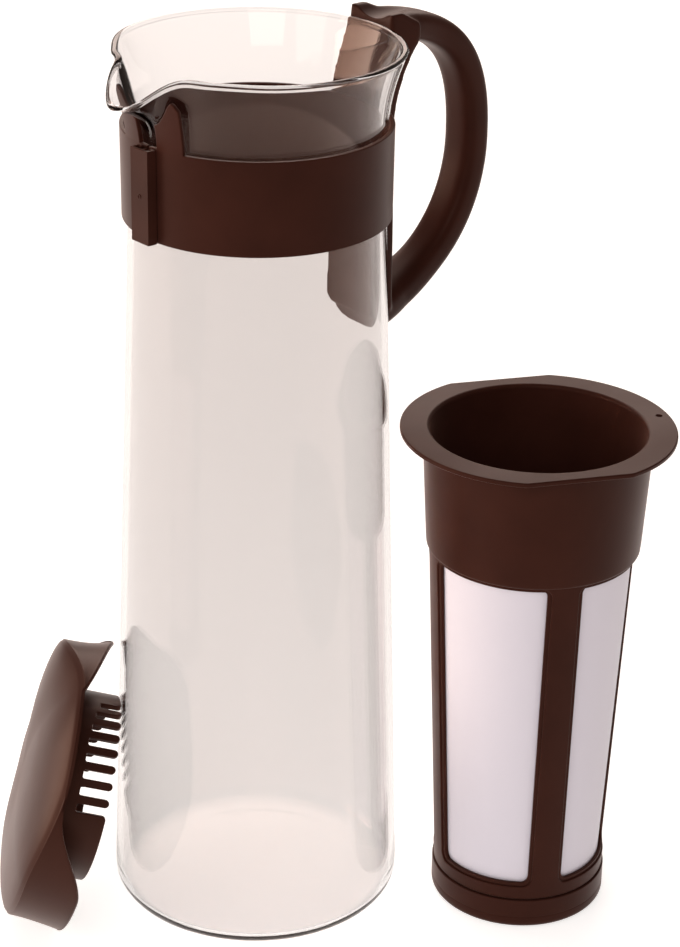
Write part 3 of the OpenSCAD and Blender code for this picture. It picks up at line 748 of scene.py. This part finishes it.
def band_strap(band, form):
    """The strap and its shoulders, wrapped round the neck."""
    middle = (form.inner + form.outer) / 2
    degree = math.radians(middle)
    plate = flat_moulding([band_outline(band, form, degree)], band.thickness, 0.35 * MM)
    cut_across(plate, np.arange(-178.5, 180, 1.5) * degree, 0)
    cut_across(plate, form.top + np.arange(0.0, 16.0, 1.6) * MM, 1)

    def radius_at(z, _):
        strap = band.flare * clamp01((z - form.low) / (form.top - form.low))
        rise = clamp01((z - form.top) / band.shoulder_height)
        return middle + strap + band.shoulder_flare * rise ** 1.35

    wrapped(plate, radius_at, 1 / degree, 0)
    for vert in plate.verts:
        if abs(vert.co.y) < band.clip_width / 2 + MM and vert.co.z < form.top - 0.1 * MM:
            vert.co.x = max(vert.co.x, -form.seat)
    return plate


def band_rails(band, form):
    """Two rails of L section, one on each end of the strap, that the clip slides over."""
    near, stem = band.split / 2, band.split / 2 + band.rail_stem
    back = form.inner + band.thickness / 2
    flange = stem + band.rail_lip
    section = [(-form.rail_front, near), (-form.rail_front, flange), (-form.rail_back, flange),
               (-form.rail_back, stem), (-back, stem), (-back, near)]
    height = form.rail_top - form.rail_low
    rails = []
    for side in (1, -1):
        bar = flat_moulding([[(x, side * y) for x, y in section]], height, 0.12 * MM)
        rails.append(moved(bar, Matrix.Translation((0, 0, form.rail_low + height / 2))))
    return rails


class BREWER_OT_band(bpy.types.Operator):
    """Build the band round the neck with its shoulders and rails"""
    bl_idname = "brewer.band"
    bl_label = "Neck band"

    def execute(self, context):
        band = context.scene.brewer_band
        form = BandForm(band, context.scene.brewer_glass)
        piece = merged("Neck_Band", [band_strap(band, form)] + band_rails(band, form))
        dress_in_plastic(piece, context.scene.brewer_finish, "carafe", "neck_band")
        return {"FINISHED"}


class BREWER_OT_clip(bpy.types.Operator):
    """Build the clip that holds the band's two ends together"""
    bl_idname = "brewer.clip"
    bl_label = "Band clip"

    def execute(self, context):
        band = context.scene.brewer_band
        form = BandForm(band, context.scene.brewer_glass)
        half = band.clip_width / 2
        inner = half - band.clip_wall
        mouth = band.split / 2 + band.rail_stem + band.clip_gap
        front = -form.clip_front
        back = -form.clip_back
        face = front + band.clip_wall
        hook = face + band.rail_flange + 2 * band.clip_gap
        section = [(front, -half), (back, -half), (back, -mouth), (hook, -mouth), (hook, -inner),
                   (face, -inner), (face, inner), (hook, inner), (hook, mouth), (back, mouth),
                   (back, half), (front, half)]
        height = form.clip_top - form.clip_low
        channel = flat_moulding([section], height, 0.28 * MM)
        moved(channel, Matrix.Translation((0, 0, form.clip_low + height / 2)))
        inset = 0.15 * MM
        foot = flat_moulding([rounded_box(front + inset, back - inset, -half + inset, half - inset,
                                          0.4 * MM)], band.clip_wall, 0.2 * MM)
        moved(foot, Matrix.Translation((0, 0, form.clip_low + band.clip_wall / 2 + 0.02 * MM)))
        pip = as_bmesh(*pip_skin(band.pip_radius))
        moved(pip, Matrix.Translation((front, 0, (form.clip_low + form.clip_top) / 2))
              @ Matrix.Rotation(math.radians(-90), 4, "Y"))
        piece = merged("Band_Clip", [channel, foot, pip])
        dress_in_plastic(piece, context.scene.brewer_finish, "clip", "band_clip")
        return {"FINISHED"}


def pip_skin(radius):
    """A low button with a dimple, facing +Z."""
    profile = [(radius, -0.3 * MM), (radius, 0.05 * MM), (radius * 0.85, 0.2 * MM),
               (radius * 0.6, 0.2 * MM), (radius * 0.45, 0.02 * MM)]
    rows = [ring_points(r, z, 24) for r, z in profile]
    return closed_skin(rows, (0, 0, -0.3 * MM), (0, 0, 0.0))


# ---- handle ----

def on_curve(controls, t):
    """Place and direction part of the way along a cubic curve with four control points."""
    p = np.array(controls)
    place = ((1 - t) ** 3 * p[0] + 3 * (1 - t) ** 2 * t * p[1]
             + 3 * (1 - t) * t * t * p[2] + t ** 3 * p[3])
    way = (3 * (1 - t) ** 2 * (p[1] - p[0]) + 6 * (1 - t) * t * (p[2] - p[1])
           + 3 * t * t * (p[3] - p[2]))
    return place, way / np.linalg.norm(way)


class HandleForm:
    """Profiles of the handle's plate and the centre line of its grip."""

    def __init__(self, s, band_form, glass):
        self.s = s
        glass_form = GlassForm(glass)
        self.low = band_form.low - s.plate_below
        self.top = glass_form.rim_z + s.plate_above
        rim_z = glass_form.rim_z
        low_r = glass_form.body_radius(self.low) + s.plate_gap
        band_low = band_form.outer + s.plate_gap
        band_top = band_low + 0.2 * MM
        rim = glass.rim_radius + 0.15 * MM + s.plate_gap
        out = band_top + s.plate_thickness
        swell = 11 * MM
        self.inner_z = [self.low, band_form.low - 12 * MM, band_form.low, band_form.top + 2 * MM,
                        rim_z - 3 * MM, self.top]
        self.inner_r = [low_r, low_r + 0.3 * MM, band_low, band_top, rim, rim + 0.8 * MM]
        steps = np.linspace(0, 1, 9)
        self.outer_z = ([self.low] + list(lerp(band_form.top - 9 * MM, rim_z - 4.5 * MM, steps))
                        + [self.top - 4 * MM, self.top])
        self.outer_r = ([out + 0.9 * MM] + list(out + swell * steps ** 2.3)
                        + [out + swell, out + 4 * MM])
        self.knee = band_form.top + 6 * MM
        self.root = band_top + 1.2 * MM
        self.top_root = rim + MM
        self.grip_top = self.top - s.top_half_thickness - 0.4 * MM
        self.grip_foot = self.low + 2.5 * MM
        self.grip_mid = lerp(self.grip_foot, self.grip_top, 0.547)

    def plate_half(self, z):
        """Half of the plate's width at a height, with round lower corners."""
        s = self.s
        corner = 3.5 * MM
        part = clamp01((z - self.knee) / (self.top - self.knee))
        half = lerp(s.plate_half_width, s.plate_top_half_width, part)
        depth = clamp01((self.low + corner - z) / corner)
        return half - corner * (1 - np.sqrt(1 - depth * depth))

    def centre_line(self, steps):
        """Points, directions and half thicknesses along the grip, in X and Z."""
        s, top, mid, foot = self.s, self.grip_top, self.grip_mid, self.grip_foot
        upper = [(self.top_root, top), (lerp(self.root, s.reach, 0.62), top - MM),
                 (s.reach, lerp(mid, top, 0.76)), (s.reach, mid)]
        lower = [(s.reach, mid), (s.reach + 0.6 * MM, lerp(mid, foot, 0.47)),
                 (lerp(self.root, s.reach, 0.7), foot + 3.5 * MM), (self.root, foot - 2 * MM)]
        line = []
        for t in np.arange(steps) / steps:
            half = lerp(s.top_half_thickness, s.half_thickness, smooth(t))
            line.append((*on_curve(upper, t), half))
        for t in np.arange(steps + 1) / steps:
            half = lerp(s.half_thickness, s.foot_half_thickness, t ** 2.5)
            line.append((*on_curve(lower, t), half))
        return line

    def grip_half(self, x, z):
        """The grip is as wide as the plate at its roots and narrows outwards."""
        s = self.s
        shoulder = s.reach - 16 * MM
        near = smooth((shoulder - x) / (0.9 * (shoulder - self.root)))
        half = s.half_width + (s.plate_top_half_width - 0.2 * MM - s.half_width) * near
        if z < self.grip_mid:
            spread = 12 * MM
            half += ((s.plate_half_width - s.plate_top_half_width)
                     * clamp01((self.root + spread - x) / spread))
        return half


def plate_skin(form):
    """The plate as rings round its section, from the foot to the top."""
    across = np.linspace(-1, 1, 17)
    rows = []
    for z in np.linspace(form.low, form.top, 150):
        half = form.plate_half(z)
        y = across * half
        inner = np.sqrt(np.interp(z, form.inner_z, form.inner_r) ** 2 - y * y)
        outer = np.sqrt(np.interp(z, form.outer_z, form.outer_r) ** 2 - y * y)
        level = np.full_like(y, z)
        front = np.stack([inner, y, level], axis=1)
        behind = np.stack([outer, y, level], axis=1)[::-1]
        rows.append(np.concatenate([front, behind]))
    return closed_skin(rows, rows[0].mean(axis=0), rows[-1].mean(axis=0))


def grip_skin(form):
    """The grip as rounded-box sections along its centre line."""
    angles = np.radians(ring_turns(44))
    roundness = 0.62
    thick = np.sign(np.cos(angles)) * np.abs(np.cos(angles)) ** roundness
    wide = np.sign(np.sin(angles)) * np.abs(np.sin(angles)) ** roundness
    rows = []
    for (x, z), way, half in form.centre_line(44):
        rows.append(np.stack([x - way[1] * thick * half, form.grip_half(x, z) * wide,
                              z + way[0] * thick * half], axis=1))
    return closed_skin(rows, rows[0].mean(axis=0), rows[-1].mean(axis=0))


def blended(name, parts, step):
    """One skin from overlapping parts, remeshed on a fine grid."""
    rough = merged(name, parts)
    rough.modifiers.clear()
    grid = rough.modifiers.new("Grid", "REMESH")
    grid.mode = "VOXEL"
    grid.voxel_size = step
    mesh, old = evaluated_mesh(rough), rough.data
    bpy.data.objects.remove(rough)
    bpy.data.meshes.remove(old)
    return taken_in(mesh)


def eased(skin, rounds):
    """Smooths a skin a number of times, so that its edges are rounded."""
    for _ in range(rounds):
        bmesh.ops.smooth_vert(skin, verts=skin.verts, factor=0.5,
                              use_axis_x=True, use_axis_y=True, use_axis_z=True)


def press_scoop(skin, form):
    """Presses the thumb scoop into the handle's top, fading out over the grip."""
    s = form.s
    radius = (s.scoop_half_width ** 2 + s.scoop_depth ** 2) / (2 * s.scoop_depth)
    start_x = form.root - 12 * MM
    slope = math.tan(math.radians(3))
    for vert in skin.verts:
        x, y, z = vert.co
        near_top = z > form.top - 14 * MM
        if near_top and start_x < x < start_x + 50 * MM and abs(y) < radius:
            floor = form.top + radius - s.scoop_depth + (x - start_x) * slope
            floor -= math.sqrt(radius * radius - y * y)
            vert.co.z = min(z, floor)


class BREWER_OT_handle(bpy.types.Operator):
    """Build the handle with its back plate and thumb scoop"""
    bl_idname = "brewer.handle"
    bl_label = "Handle"

    def execute(self, context):
        scene = context.scene
        s = scene.brewer_handle
        form = HandleForm(s, BandForm(scene.brewer_band, scene.brewer_glass), scene.brewer_glass)
        parts = [as_bmesh(*plate_skin(form)), as_bmesh(*grip_skin(form))]
        skin = blended("Handle", parts, s.grain)
        press_scoop(skin, form)
        eased(skin, rounds=5)
        piece = finished_object("Handle", given_out(skin, "Handle"))
        dress_in_plastic(piece, scene.brewer_finish, "carafe", "handle")
        return {"FINISHED"}


# ---- strainer ----

class StrainerForm:
    """Heights, radii and place of the strainer."""

    def __init__(self, s):
        self.s = s
        self.top = STRAINER_HIGH[2]
        self.barrel_low = self.top - s.barrel_height
        self.cage_top = s.barrel_low_radius - s.cage_inset
        x, y, _ = [(low + high) / 2 for low, high in zip(BASE_LOW, BASE_HIGH)]
        self.place = Matrix.Translation((x, y, 0)) @ Matrix.Rotation(s.heading, 4, "Z")

    def cage_radius(self, z):
        s = self.s
        part = clamp01((z - s.cap_height) / (self.barrel_low - s.cap_height))
        return lerp(s.cage_low_radius, self.cage_top, part)

    def barrel_radius(self, z):
        s = self.s
        part = (z - self.barrel_low) / s.barrel_height
        return lerp(s.barrel_low_radius, s.barrel_top_radius, part)


def barrel_skin(form):
    """The barrel with its flange, turned, with two flats on the flange."""
    s = form.s
    count = 240
    lip, edge, fillet, foot_edge = 1.3 * MM, 0.45 * MM, 1.2 * MM, 1.0 * MM
    low, top = form.barrel_low, form.top
    under = top - s.flange_thickness
    mouth = s.barrel_top_radius - s.wall - 0.6 * MM
    foot = form.barrel_radius(low + MM) - s.wall
    tucked = form.cage_top - 0.4 * MM
    profile = [(form.cage_top - s.wall, low - MM), (foot, low + MM)]
    profile += [(lerp(foot, mouth, t), lerp(low + MM, top - lip, t)) for t in (0.33, 0.66)]
    profile += arc(mouth + lip, top - lip, lip, 180, 90, 8)
    profile += [(s.barrel_top_radius + 1.5 * MM, top)]
    profile += arc(s.flange_radius - edge, top - edge, edge, 90, 0, 4)
    profile += arc(s.flange_radius - edge, under + edge, edge, 0, -90, 4)
    profile += arc(s.barrel_top_radius + fillet, under - fillet, fillet, 90, 180, 5)
    profile += [(form.barrel_radius(z), z) for z in np.linspace(under - 4 * MM, low + 3 * MM, 6)]
    profile += arc(s.barrel_low_radius - foot_edge, low + foot_edge, foot_edge, 0, -90, 5)
    profile += [(tucked, low + 0.1 * MM), (tucked, low - MM)]
    sines = np.abs(np.sin(np.radians(ring_turns(count))))
    rows = []
    for radius, z in profile:
        back = s.flange_radius - radius
        if radius > s.flat_radius - 2 * MM:
            radius = np.minimum(radius, (s.flat_radius - back) / np.maximum(sines, 1e-6))
        rows.append(ring_points(radius, z, count))
    return joined_rows(rows, closed=True)


def window_half(s, form, z):
    """Half of a window's width at a height, in degrees. The struts are equally wide all the way
    down."""
    return 45 - math.degrees(s.strut_width / 2 / float(form.cage_radius(z)))


def window_loop(s, form, grow, degree):
    """One window of the cage, unrolled, middle at X 0, narrower at its foot."""
    low, high = s.window_foot - grow, form.barrel_low - 0.4 * MM + grow * 0.3
    corner = s.window_corner + grow * 0.5
    loop = rounded_box(-1.0, 1.0, low, high, corner)
    bent = []
    for x, y in loop:
        half = window_half(s, form, y) * degree + grow
        inset = 1.0 - abs(x)
        bent.append((math.copysign(half - min(inset, corner), x), y))
    return bent


def cage_sheet(form, grow, inner, outer, rounding):
    """One layer of the cage between two depths below its outer face, with four windows."""
    s = form.s
    degree = math.radians((s.cage_low_radius + form.cage_top) / 2)
    half = 186 * degree
    low, high = s.cap_height + 0.1 * MM, form.barrel_low + 0.8 * MM
    loops = [rounded_box(-half, half, low, high, 0.2 * MM, 2)]
    for middle in (-135, -45, 45, 135):
        loops.append([(x + middle * degree, y) for x, y in window_loop(s, form, grow, degree)])
    sheet = flat_moulding(loops, inner - outer, rounding)
    cut_across(sheet, np.arange(-178, 179, 2.0) * degree, 0)
    trim_ends(sheet, 180 * degree)
    wrapped(sheet, lambda z, _: form.cage_radius(z) - (inner + outer) / 2, 1 / degree, 0)
    return sheet


def cut_hole(piece, place, radius, depth):
    """Cuts a small round hole through a piece, up and down."""
    rows = [ring_points(radius, z, 40) for z in (-depth / 2, depth / 2)]
    points, faces = closed_skin(rows, (0, 0, -depth / 2), (0, 0, depth / 2))
    drill = mesh_object("Drill", points + np.array(place), faces)
    cut = piece.modifiers.new("Hole", "BOOLEAN")
    cut.operation = "DIFFERENCE"
    cut.solver = "EXACT"
    cut.object = drill
    mesh, old = evaluated_mesh(piece), piece.data
    piece.modifiers.clear()
    piece.data = mesh
    bpy.data.meshes.remove(old)
    bpy.data.objects.remove(drill)


class BREWER_OT_strainer_frame(bpy.types.Operator):
    """Build the strainer's flange, barrel and window cage"""
    bl_idname = "brewer.strainer_frame"
    bl_label = "Strainer frame"

    def execute(self, context):
        s = context.scene.brewer_strainer
        form = StrainerForm(s)
        barrel = mesh_object("Barrel", *barrel_skin(form))
        hole_x = (s.barrel_top_radius + 0.8 * MM + s.flange_radius) / 2 - 0.3 * MM
        cut_hole(barrel, (hole_x, 0, form.top), s.hole_radius, 8 * MM)
        ring = bmesh.new()
        ring.from_mesh(barrel.data)
        bpy.data.objects.remove(barrel)
        parts = [ring, cage_sheet(form, 0.0, s.wall, s.rebate_depth, 0.25 * MM),
                 cage_sheet(form, s.rebate_width, s.wall - 0.3 * MM, 0.0, 0.35 * MM)]
        piece = merged("Strainer_Frame", [moved(part, form.place) for part in parts])
        dress_in_plastic(piece, context.scene.brewer_finish, "strainer", "strainer_frame")
        return {"FINISHED"}


class BREWER_OT_strainer_mesh(bpy.types.Operator):
    """Build the fine mesh sleeve behind the windows"""
    bl_idname = "brewer.strainer_mesh"
    bl_label = "Strainer mesh"

    def execute(self, context):
        s = context.scene.brewer_strainer
        form = StrainerForm(s)
        low, high = s.cap_height + 1.5 * MM, form.barrel_low - 1.2 * MM
        count, depth, thread = 192, s.wall + 0.1 * MM, 0.35 * MM
        heights = np.linspace(low, high, 60)
        rows = [ring_points(form.cage_radius(z) - depth, z, count) for z in heights]
        rows += [ring_points(form.cage_radius(z) - depth - thread, z, count) for z in heights[::-1]]
        points, faces = joined_rows(rows, closed=True)
        piece = mesh_object("Strainer_Mesh", points, faces, sharp=40)
        piece.data.transform(form.place)
        unroll(piece, form)
        dress(piece, fine_mesh(s), "strainer", "fine_mesh", "strainer_mesh")
        return {"FINISHED"}


def unroll(piece, form):
    """Gives a turned piece a map in metres: round its axis and up."""
    layer = piece.data.uv_layers.new(name="Unrolled")
    back = form.place.inverted()
    radius = (form.s.cage_low_radius + form.cage_top) / 2
    for polygon in piece.data.polygons:
        middle = back @ polygon.center
        centre = math.atan2(middle.y, middle.x)
        for loop in polygon.loop_indices:
            point = back @ piece.data.vertices[piece.data.loops[loop].vertex_index].co
            angle = math.atan2(point.y, point.x)
            angle += 2 * math.pi * round((centre - angle) / (2 * math.pi))
            layer.data[loop].uv = (angle * radius, point.z)


class BREWER_OT_strainer_base(bpy.types.Operator):
    """Build the cap that closes the strainer's foot"""
    bl_idname = "brewer.strainer_base"
    bl_label = "Strainer base"

    def execute(self, context):
        s = context.scene.brewer_strainer
        form = StrainerForm(s)
        foot, lip, groove = 2.2 * MM, 0.35 * MM, 0.12 * MM
        inner = s.cap_radius - s.cap_wall
        lip_z = s.cap_height - 0.2 * MM - lip
        profile = [(s.cap_radius * q, 0.0) for q in (0.2, 0.5, 0.8)]
        profile += arc(s.cap_radius - foot, foot, foot, 270, 360, 8)
        profile += [(s.cap_radius, 3.9 * MM), (s.cap_radius - groove, 4.1 * MM),
                    (s.cap_radius - groove, 4.3 * MM), (s.cap_radius, 4.5 * MM)]
        profile += arc(s.cap_radius - lip, lip_z, lip, 0, 90, 4)
        profile += arc(inner + lip, lip_z, lip, 90, 180, 4)
        profile += [(inner, s.cap_wall + MM), (inner - MM, s.cap_wall)]
        profile += [(s.cap_radius * q, s.cap_wall) for q in (0.7, 0.4, 0.2)]
        rows = [ring_points(r, z, 192) for r, z in profile]
        points, faces = closed_skin(rows, (0, 0, 0), (0, 0, s.cap_wall))
        piece = merged("Strainer_Base", [moved(as_bmesh(points, faces), form.place)])
        dress_in_plastic(piece, context.scene.brewer_finish, "strainer", "strainer_base")
        return {"FINISHED"}


# ---- lid ----

LID_TURNS = 300


class LidForm:
    """The lid in its own frame: dome on +Z, tongue on +X, apron on -X."""

    def __init__(self, s):
        self.s = s

    def edge(self, off):
        """Height of the edge, off the tongue by an angle in degrees."""
        s = self.s
        return s.tongue_rise * (1 - smooth(off / 44)) + s.apron_rise * smooth((off - 80) / 56)

    def on_tongue(self, off):
        """1 in the middle of the tongue, 0 from its ends on."""
        return clamp01(1 - off / 45)

    def on_apron(self, off):
        """0 up to the apron's ends, 1 where it hangs at its full depth."""
        return smooth((off - 98) / 40)

    def free(self, off):
        """Height of the free lower edge."""
        s = self.s
        return (-s.edge_depth - (s.tongue_depth - s.edge_depth) * self.on_tongue(off) ** 0.74
                - (s.apron_depth - s.edge_depth) * self.on_apron(off))

    def flare(self, off, part):
        """How far the wall leans out, part of the way down to the free edge."""
        s = self.s
        return (s.tongue_flare * part ** 3 * self.on_tongue(off) ** 0.6
                + s.apron_flare * part ** 1.5 * self.on_apron(off))

    def dome(self, off, q):
        """Height of the dome at a share of the lid's radius."""
        s = self.s
        rounding = s.edge_round * clamp01((q - 0.88) / 0.12) ** 2.2
        return s.dome_height * (1 - q ** 3) + self.edge(off) * q ** 2.2 - rounding

    def place(self, glass_form):
        """Where the lid stands: on its apron, with its comb against the glass."""
        s = self.s
        across, along = math.cos(s.lean), math.sin(s.lean)
        low = (s.radius + s.apron_flare) * across + s.apron_depth * along + 0.2 * MM
        contact = s.comb_radius * math.cos(math.asin(s.offset / s.comb_radius))
        contact_z = low - s.comb_depth * along + contact * across
        distance = (float(glass_form.body_radius(contact_z)) + s.gap + s.comb_depth * across
                    + contact * along)
        east, north = math.cos(s.heading), math.sin(s.heading)
        where = (-distance * east + s.offset * north, -distance * north - s.offset * east, low)
        return (Matrix.Translation(where) @ Matrix.Rotation(s.heading, 4, "Z")
                @ Matrix.Rotation(s.lean - math.pi / 2, 4, "Y") @ Matrix.Rotation(s.roll, 4, "Z"))


def lid_skin(form):
    """The dome, its rounded edge, the wall with tongue and apron, and the inside."""
    s = form.s
    turns = ring_turns(LID_TURNS)
    off = np.abs((turns + 180) % 360 - 180)
    edge, free = form.edge(off), form.free(off)
    high = edge - 2 * s.edge_round

    def dome_row(q, drop):
        return ring_points(s.radius * q, form.dome(off, q) - drop, LID_TURNS)

    def wall_row(part, inset, lift=0.0):
        return ring_points(s.radius - inset + form.flare(off, part), lerp(high, free, part) + lift,
                           LID_TURNS)

    rows = [dome_row(q, 0.0) for q in (0.06, 0.15, 0.25, 0.35, 0.45, 0.55, 0.65, 0.73, 0.8, 0.86,
                                       0.9, 0.93, 0.955, 0.975)]
    rows += [ring_points(s.radius - 0.45 * MM, edge - s.edge_round - 0.1 * MM, LID_TURNS),
             ring_points(s.radius - 0.12 * MM, edge - 1.5 * s.edge_round, LID_TURNS)]
    rows += [wall_row(part, 0.0) for part in np.linspace(0, 0.97, 10)]
    half = s.wall / 2
    rows += [wall_row(1.0, half * (1 - cosine(a)), 0.9 * half * (1 - sine(a)))
             for a in np.linspace(0, 180, 9)]
    rows += [wall_row(part, s.wall) for part in (0.9, 0.75, 0.6, 0.45, 0.3)]
    rows += [dome_row(q, s.wall) for q in (0.945, 0.92, 0.86, 0.78, 0.7, 0.6, 0.5, 0.35, 0.2, 0.08)]
    return closed_skin(rows, (0, 0, s.dome_height), (0, 0, s.dome_height - s.wall))


def comb_outline(s, degree):
    """The unrolled comb: a plain wall with slots open at the bottom between round-ended fingers."""
    width = s.slot_width / 2
    pitch = math.degrees(s.slot_pitch)
    tip = (pitch * degree - s.slot_width) / 2
    corner = 0.4 * MM
    low, high = -s.comb_depth, s.dome_height + s.tongue_rise
    slots = []
    for i in range(s.slots):
        angle = math.degrees(s.slot_first) + i * pitch
        root = 0.39 * s.comb_depth + 3.8 * MM * float(clamp01((66 - angle) / 43)) ** 2
        slots += [(-angle * degree, root), (angle * degree, root)]
    # half a slot, from the finger's tip beside it up to its root
    side = [(width + tip * (1 - sine(a)), low + tip * (1 - cosine(a)))
            for a in np.linspace(0, 90, 6)]
    end = 187 * degree
    loop = [(-end, low)]
    for middle, root in sorted(slots):
        half = side + [(width, -root - corner), (width - corner, -root)]
        loop += [(middle - x, y) for x, y in half] + [(middle + x, y) for x, y in reversed(half)]
    loop += [(end, low), (end, high), (-end, high)]
    return cleaned(loop)


def cleaned(loop):
    """A loop without points that repeat the one before."""
    kept = [loop[0]]
    for point in loop[1:]:
        if math.dist(point, kept[-1]) > 0.02 * MM:
            kept.append(point)
    return kept


def comb_wall(form):
    """The comb, wrapped into a ring and ended inside the dome."""
    s = form.s
    middle = s.comb_radius - s.comb_wall / 2
    degree = math.radians(s.comb_radius)
    plate = flat_moulding([comb_outline(s, degree)], s.comb_wall, 0.3 * MM)
    cut_across(plate, np.arange(-178.5, 179, 1.5) * degree, 0)
    trim_ends(plate, 180 * degree)
    wrapped(plate, lambda z, _: middle, 1 / degree, 0)
    for vert in plate.verts:
        off = abs(math.degrees(math.atan2(vert.co.y, vert.co.x)))
        ceiling = form.dome(off, s.comb_radius / s.radius) - 0.5 * s.wall
        vert.co.z = min(vert.co.z, float(ceiling))
    return plate


class BREWER_OT_lid(bpy.types.Operator):
    """Build the lid with its comb, standing against the carafe"""
    bl_idname = "brewer.lid"
    bl_label = "Lid"

    def execute(self, context):
        s = context.scene.brewer_lid
        form = LidForm(s)
        place = form.place(GlassForm(context.scene.brewer_glass))
        parts = [as_bmesh(*lid_skin(form)), comb_wall(form)]
        piece = merged("Lid", [moved(part, place) for part in parts])
        dress_in_plastic(piece, context.scene.brewer_finish, "lid", "lid")
        return {"FINISHED"}


# ---- stage ----

WHITE = (1.0, 1.0, 1.0)
WARM = (1.0, 0.84, 0.76)
AMBER = (1.0, 0.82, 0.68)
CARAFE_MIDDLE = (0.0, 0.0, 0.14)
# name, place, place it points at, width and height, watts, colour
SOFTBOXES = (
    ("Back_Softbox", (0.95, 1.4, 1.22), (0.1, 0.1, 0.0), (1.8, 1.4), 22, WARM),
    ("Left_Softbox", (-1.5, -0.1, 0.8), CARAFE_MIDDLE, (0.7, 1.0), 4, WHITE),
    ("Low_Softbox", (-1.3, 1.25, 0.46), (-0.1, 0.0, 0.05), (1.5, 0.85), 22, AMBER),
    ("Front_Softbox", (-1.3, -1.2, 1.2), CARAFE_MIDDLE, (1.0, 1.0), 9, WHITE),
)


def aim(towards, place):
    """A matrix at a place whose -Z points at another place."""
    direction = (Vector(towards) - Vector(place)).to_track_quat("-Z", "Y")
    return Matrix.Translation(place) @ direction.to_matrix().to_4x4()


def photo_camera(scene, s):
    """The camera where the photographer stood."""
    side = s.camera_side
    place = Vector((-s.camera_distance * math.sin(side), -s.camera_distance * math.cos(side),
                    s.camera_height))
    heading = side + s.aim_side
    ahead = Vector((math.sin(heading), math.cos(heading), 0))
    forward = ahead * math.cos(s.pitch) - Vector((0, 0, math.sin(s.pitch)))
    level = Vector((math.cos(heading), -math.sin(heading), 0))
    upward = level.cross(forward)
    right = level * math.cos(s.roll) + upward * math.sin(s.roll)
    up = -level * math.sin(s.roll) + upward * math.cos(s.roll)
    data = bpy.data.cameras.new("Photo_Camera")
    data.sensor_width = 36.0
    data.lens = s.focal / PHOTO_HEIGHT * data.sensor_width
    data.clip_start = 0.01
    camera = bpy.data.objects.new("Photo_Camera", data)
    turned = Matrix((right, up, -forward)).transposed().to_4x4()
    camera.matrix_world = Matrix.Translation(place) @ turned
    scene.collection.objects.link(camera)
    scene.camera = camera


def soft_light(scene, name, place, towards, size, power, colour):
    """A softbox of a width and a height, in watts."""
    data = bpy.data.lights.new(name, "AREA")
    data.shape = "RECTANGLE"
    data.size, data.size_y = size
    data.energy = power
    data.color = colour
    light = bpy.data.objects.new(name, data)
    light.matrix_world = aim(towards, place)
    scene.collection.objects.link(light)


class BREWER_OT_stage(bpy.types.Operator):
    """Set up the camera, the pale floor and the soft lights"""
    bl_idname = "brewer.stage"
    bl_label = "Stage"

    def execute(self, context):
        scene = context.scene
        s = scene.brewer_stage
        half = s.floor_size / 2
        low = -s.floor_drop
        corners = [(-half, -half, low), (half, -half, low), (half, half, low), (-half, half, low)]
        floor = mesh_object("Floor", corners, [(0, 1, 2, 3)])
        floor.data.materials.append(pale_floor(s))
        photo_camera(scene, s)
        for softbox in SOFTBOXES:
            soft_light(scene, *softbox)
        world = bpy.data.worlds.new("Studio")
        world.use_nodes = True
        sky = world.node_tree.nodes["Background"]
        sky.inputs["Color"].default_value = (*WARM, 1)
        sky.inputs["Strength"].default_value = 0.3
        scene.world = world
        scene.view_settings.view_transform = "Standard"
        return {"FINISHED"}


# ---- add-on ----

class BREWER_PT_panel(bpy.types.Panel):
    """Lists the coffee maker's pieces"""
    bl_label = "Cold brew coffee maker"
    bl_idname = "BREWER_PT_panel"
    bl_space_type = "VIEW_3D"
    bl_region_type = "UI"
    bl_category = "Brewer"

    def draw(self, context):
        for operator in PIECES:
            self.layout.operator(operator.bl_idname)


SETTINGS = {
    "brewer_glass": BREWER_PG_glass,
    "brewer_band": BREWER_PG_band,
    "brewer_handle": BREWER_PG_handle,
    "brewer_strainer": BREWER_PG_strainer,
    "brewer_lid": BREWER_PG_lid,
    "brewer_finish": BREWER_PG_finish,
    "brewer_stage": BREWER_PG_stage,
}
PIECES = (BREWER_OT_stage, BREWER_OT_glass, BREWER_OT_band, BREWER_OT_clip, BREWER_OT_handle,
          BREWER_OT_lid, BREWER_OT_strainer_frame, BREWER_OT_strainer_mesh, BREWER_OT_strainer_base)


def register():
    for group in SETTINGS.values():
        bpy.utils.register_class(group)
    for operator in PIECES:
        bpy.utils.register_class(operator)
    bpy.utils.register_class(BREWER_PT_panel)
    for name, group in SETTINGS.items():
        setattr(bpy.types.Scene, name, bpy.props.PointerProperty(type=group))


def unregister():
    for name in SETTINGS:
        delattr(bpy.types.Scene, name)
    bpy.utils.unregister_class(BREWER_PT_panel)
    for operator in reversed(PIECES):
        bpy.utils.unregister_class(operator)
    for group in reversed(list(SETTINGS.values())):
        bpy.utils.unregister_class(group)


def main():
    """Builds every piece in order."""
    register()
    bpy.ops.brewer.stage()
    bpy.ops.brewer.glass()
    bpy.ops.brewer.band()
    bpy.ops.brewer.clip()
    bpy.ops.brewer.handle()
    bpy.ops.brewer.lid()
    bpy.ops.brewer.strainer_frame()
    bpy.ops.brewer.strainer_mesh()
    bpy.ops.brewer.strainer_base()


if __name__ == "__main__":
    main()
